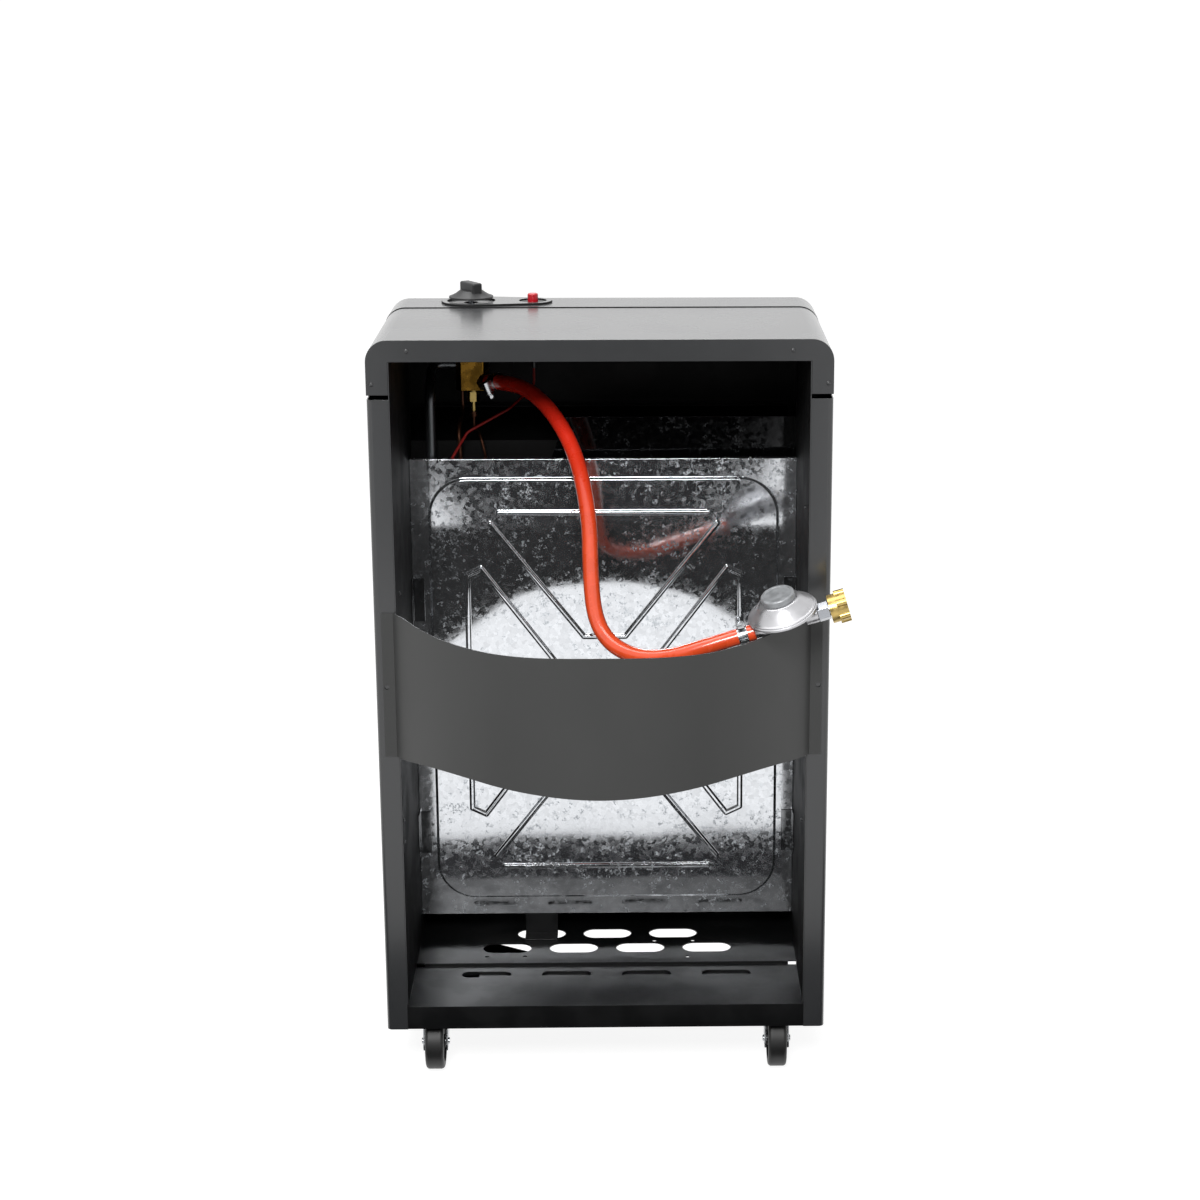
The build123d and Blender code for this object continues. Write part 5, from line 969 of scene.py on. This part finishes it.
def clip_strap():
    """Perforated strap, as a ring with a row of slots pressed into its outer face."""
    deselect()
    bpy.ops.mesh.primitive_cylinder_add(vertices=2 * CLIP_SLOTS, radius=HOSE_RADIUS + CLIP_STRAP,
                                        depth=CLIP_WIDTH, end_fill_type="NOTHING")
    strap = bpy.context.object
    wall = strap.modifiers.new("thickness", "SOLIDIFY")
    wall.thickness = CLIP_STRAP
    wall.offset = -1.0
    bpy.ops.object.modifier_apply(modifier=wall.name)
    for face in strap.data.polygons:
        middle = face.center
        outside = math.hypot(middle.x, middle.y) > HOSE_RADIUS + 0.5 * CLIP_STRAP
        turn = math.atan2(middle.y, middle.x) / math.tau * 2 * CLIP_SLOTS
        face.select = outside and abs(face.normal.z) < 0.5 and int(turn - 0.5) % 2 == 0
    bpy.ops.object.mode_set(mode="EDIT")
    bpy.ops.mesh.select_mode(type="FACE")
    bpy.ops.mesh.inset(thickness=CLIP_SLOT_MARGIN, use_individual=True)
    bpy.ops.mesh.extrude_region_shrink_fatten(
        TRANSFORM_OT_shrink_fatten={"value": -CLIP_SLOT_DEPTH})
    bpy.ops.object.mode_set(mode="OBJECT")
    return strap


def clip_housing():
    """Rounded housing over the screw, on its foot."""
    round_part = rod_along_y(40, HOUSING_RADIUS, HOUSING_LENGTH, (HOUSING_OUT, 0, 0))
    round_part.scale = (1.0, HOUSING_FLATNESS, 1.0)
    shape_applied()
    foot = box_round((FOOT_OUT, 0, 0), FOOT_SIZE)
    return bevelled(joined("clip_housing", round_part, foot), 0.4 * MM)


def clip_screw():
    """Hexagon head with a slot and a collar."""
    radius, length, along = SCREW_HEAD
    rod_along_y(6, radius, length, (SCREW_OUT, along, 0))
    head = shape_applied()
    slot = box_round((SCREW_OUT, SCREW_SLOT_AT, 0), SCREW_SLOT)
    cut = head.modifiers.new("slot", "BOOLEAN")
    cut.object = slot
    select_only(head)
    bpy.ops.object.modifier_apply(modifier=cut.name)
    bpy.data.objects.remove(slot)
    radius, length, along = SCREW_COLLAR
    rod_along_y(32, radius, length, (SCREW_OUT, along, 0))
    return bevelled(joined("clip_screw", head, shape_applied()), 0.25 * MM)


class HEATER_OT_clips(bpy.types.Operator):
    """Two worm-drive clips on the hose"""
    bl_idname = "heater.clips"
    bl_label = "Hose clips"

    def execute(self, context):
        points = hose_points()
        first = (points[1] - points[0]).normalized()
        last = (points[-2] - points[-1]).normalized()
        model = joined("hose_clip", clip_strap(), clip_housing(), clip_screw())
        painted(smoothed(model), finish("zinc_hardware"))
        places = (
            ("hose_clip_upper", clip_frame(points[0], first, *UPPER_CLIP_FACES)),
            ("hose_clip_lower", clip_frame(points[-1], last, *LOWER_CLIP_FACES)),
        )
        for node, place in places:
            clip = model.copy()
            clip.data = model.data.copy()
            clip.name = f"{node}_finished"
            context.collection.objects.link(clip)
            placed(clip, place)
            fitted(clip, "cabinet", "zinc_hardware", node)
        bpy.data.objects.remove(model)
        return {"FINISHED"}


def regulator_frames():
    """Matrices of the pipe line at the hose's end and of the dome on its rim plane."""
    points = hose_points()
    line = (points[-1] - points[-2]).normalized()
    upright = (Vector((0, 0, 1)) - line * line.z).normalized()
    rearward = (Vector((0, 1, 0)) - line * line.y).normalized()
    upright = upright * math.cos(REGULATOR_LEAN) + rearward * math.sin(REGULATOR_LEAN)
    rim = points[-1] + line * REGULATOR_REACH + upright * REGULATOR_RISE
    return axes(points[-1], line, upright), axes(rim, upright, line)


def regulator_dome():
    """Pan, crimped rim and domed cover, turned about the dome's axis."""
    return turned("regulator_dome", (
        (0, -6.8), (22.5, -6.8), (24.6, -6.2), (25.0, -5.2), (25.2, -2.9), (31.2, -2.2),
        (31.9, -1.6), (31.9, 0.2), (31.5, 0.6), (30.9, 0.7), (30.9, 1.7), (30.4, 2.2), (29.4, 2.5),
        (28.4, 3.2), (26.0, 5.3), (23.2, 8.0), (20.6, 10.6), (18.6, 12.3), (17.3, 13.0),
        (16.4, 13.2), (0, 13.2),
    ), steps=96)


def regulator_line():
    """Barb, pipe line with its swellings and the boss below the pan."""
    return turned("regulator_line", (
        (0, -22), (2.9, -22), (3.9, -20.5), (3.9, 0), (6.0, 0), (6.4, 0.5), (6.4, 9), (5.6, 10.5),
        (5.6, 20), (6.5, 24), (6.5, 36), (5.9, 39), (5.9, 44.5), (6.6, 46), (7.4, 46.6),
        (8.0, 47.6), (8.0, 57.6), (7.6, 58.6), (6.8, 59), (0, 59),
    ), steps=48)


class HEATER_OT_regulator(bpy.types.Operator):
    """Gas regulator: cast body, cap and steel stem"""
    bl_idname = "heater.regulator"
    bl_label = "Regulator"

    def execute(self, context):
        pipe, dome = regulator_frames()
        cover = placed(regulator_dome(), dome)
        line = placed(regulator_line(), pipe)
        deselect()
        bpy.ops.mesh.primitive_cylinder_add(
            vertices=48, radius=BOSS_RADIUS, depth=BOSS_LENGTH, location=(0, 0, -BOSS_DROP))
        boss = placed(shape_applied(), dome)
        body = joined("regulator_casting", cover, line, boss)
        painted(smoothed(body, 40), finish("regulator_casting"))
        fitted(body, "cabinet", "regulator_casting", "regulator_body")
        dressed("regulator_cap", "regulator_cap", bevel=0.5 * MM)
        dressed("regulator_stem", "spindle_steel", bevel=0.4 * MM)
        return {"FINISHED"}


class HEATER_OT_hand_wheel(bpy.types.Operator):
    """Lobed brass nut"""
    bl_idname = "heater.hand_wheel"
    bl_label = "Hand wheel"

    def execute(self, context):
        dressed("regulator_handwheel", "brass_fittings", bevel=0.9 * MM, segments=3, angle=45)
        return {"FINISHED"}


class HEATER_OT_screws(bpy.types.Operator):
    """Dome heads on the cabinet"""
    bl_idname = "heater.screws"
    bl_label = "Cabinet screws"

    def execute(self, context):
        dressed("cabinet_screws", "zinc_hardware", finish("cabinet_paint"), bevel=0.5 * MM,
                segments=3, angle=60)
        return {"FINISHED"}


class HEATER_OT_castors(bpy.types.Operator):
    """Castor plates, bolts, forks and wheels"""
    bl_idname = "heater.castors"
    bl_label = "Castors"

    def execute(self, context):
        for node in ("castor_plates", "castor_bolts"):
            dressed(node, "zinc_hardware")
        for corner in CORNERS:
            dressed(f"castor_fork_{corner}", "zinc_hardware", bevel=0.4 * MM)
            dressed(f"castor_wheel_{corner}", "wheel_plastic", bevel=0.5 * MM)
        return {"FINISHED"}


class HEATER_OT_declare_hose(bpy.types.Operator):
    """A step that does nothing."""
    bl_idname = "heater.declare_hose"
    bl_label = "Hose facts"

    def execute(self, context):
        return {"FINISHED"}


# ------------------------------ stage
def floor_material(stage):
    """Pale floor that reads white to the camera and to gloss, and keeps the shadow."""
    material, tree, shader, place = start_material("pale_floor")
    colour = linear(stage.floor_colour)
    slow = noise_node(tree, place, 3.0)
    tree.links.new(blend_colour(tree, slow.outputs["Fac"], shaded(colour, 0.99), colour),
                   shader.inputs["Base Color"])
    shader.inputs["Roughness"].default_value = 0.8
    rays = tree.nodes.new("ShaderNodeLightPath").outputs
    seen = math_node(tree, "MAXIMUM", rays["Is Camera Ray"], rays["Is Glossy Ray"])
    shader.inputs["Emission Color"].default_value = (1, 1, 1, 1)
    lift = math_node(tree, "MULTIPLY", seen, stage.floor_lift)
    tree.links.new(lift, shader.inputs["Emission Strength"])
    return material


def world_light(stage):
    world = bpy.data.worlds.new("studio")
    world.use_nodes = True
    tree = world.node_tree
    background = tree.nodes["Background"]
    rays = tree.nodes.new("ShaderNodeLightPath").outputs
    gloss = math_node(tree, "MAXIMUM", rays["Is Glossy Ray"], rays["Is Transmission Ray"])
    seen = math_node(tree, "MAXIMUM", rays["Is Camera Ray"], gloss)
    strength = range_node(tree, seen, 0.0, 1.0, stage.sky, 1.0)
    background.inputs["Color"].default_value = (1, 1, 1, 1)
    tree.links.new(strength, background.inputs["Strength"])
    bpy.context.scene.world = world


def area_light(name, place, target, size, power):
    light = bpy.data.lights.new(name, "AREA")
    light.shape = "RECTANGLE"
    light.size, light.size_y = size
    light.energy = power
    lamp = bpy.data.objects.new(name, light)
    bpy.context.collection.objects.link(lamp)
    lamp.location = place
    lamp.rotation_euler = (Vector(target) - Vector(place)).to_track_quat("-Z", "Y").to_euler()


def dark_panel(name, place, size, tilt):
    """A dark panel that only the part's gloss sees: a painted dark reflection, invisible to the
    camera, to dull light and to shadow.
    """
    deselect()
    bpy.ops.mesh.primitive_plane_add(size=1, location=place, rotation=(math.radians(tilt), 0, 0))
    panel = bpy.context.object
    panel.name = name
    panel.scale = (*size, 1.0)
    panel.visible_camera = False
    panel.visible_diffuse = False
    panel.visible_shadow = False
    return painted(panel, finish("dark_cloth"))


class HEATER_OT_camera(bpy.types.Operator):
    """Camera at the photograph's viewing angle"""
    bl_idname = "heater.camera"
    bl_label = "Camera"

    def execute(self, context):
        camera = bpy.data.cameras.new("camera")
        camera.lens = CAMERA_LENS
        camera.sensor_width = CAMERA_SENSOR
        camera.shift_x = CAMERA_SHIFT
        seat = bpy.data.objects.new("camera", camera)
        context.collection.objects.link(seat)
        seat.location = CAMERA_PLACE
        seat.rotation_euler = (math.radians(90) - CAMERA_PITCH, 0, CAMERA_YAW)
        context.scene.camera = seat
        return {"FINISHED"}


class HEATER_OT_stage(bpy.types.Operator):
    """Pale floor, dark panels for the gloss, and soft lights"""
    bl_idname = "heater.stage"
    bl_label = "Stage"

    def execute(self, context):
        stage = context.scene.heater_stage
        deselect()
        bpy.ops.mesh.primitive_plane_add(size=stage.floor_size)
        floor = context.object
        floor.name = "floor"
        painted(floor, floor_material(stage))
        [dark_panel(*panel) for panel in DARK_PANELS]
        world_light(stage)
        area_light("overhead", *OVERHEAD_LAMP, stage.top_power)
        area_light("front", *FRONT_LAMP, stage.front_power)
        context.scene.view_settings.view_transform = "Standard"
        return {"FINISHED"}


STEPS = (
    "camera", "cabinet", "band", "base", "shield", "burner", "guard", "pipes", "pilot", "valve",
    "controls", "hose", "clips", "regulator", "hand_wheel", "screws", "castors", "declare_hose",
    "stage",
)


class HEATER_PT_panel(bpy.types.Panel):
    """Lists the heater's steps and colours"""
    bl_idname = "HEATER_PT_panel"
    bl_label = "Heater"
    bl_space_type = "VIEW_3D"
    bl_region_type = "UI"
    bl_category = "Heater"

    def draw(self, context):
        for step in STEPS:
            self.layout.operator(f"heater.{step}")
        for group in (context.scene.heater_looks, context.scene.heater_stage):
            for name in group.__annotations__:
                self.layout.prop(group, name)


CLASSES = (
    HeaterLooks, HeaterStage, HEATER_OT_camera, HEATER_OT_cabinet, HEATER_OT_band, HEATER_OT_base,
    HEATER_OT_shield, HEATER_OT_burner, HEATER_OT_guard, HEATER_OT_pipes, HEATER_OT_pilot,
    HEATER_OT_valve, HEATER_OT_controls, HEATER_OT_hose, HEATER_OT_clips, HEATER_OT_regulator,
    HEATER_OT_hand_wheel, HEATER_OT_screws, HEATER_OT_castors, HEATER_OT_declare_hose,
    HEATER_OT_stage, HEATER_PT_panel,
)


def register():
    for made in CLASSES:
        bpy.utils.register_class(made)
    bpy.types.Scene.heater_looks = bpy.props.PointerProperty(type=HeaterLooks)
    bpy.types.Scene.heater_stage = bpy.props.PointerProperty(type=HeaterStage)


def unregister():
    del bpy.types.Scene.heater_looks
    del bpy.types.Scene.heater_stage
    for made in reversed(CLASSES):
        bpy.utils.unregister_class(made)


def main():
    register()
    for step in STEPS:
        getattr(bpy.ops.heater, step)()


if __name__ == "__main__":
    main()
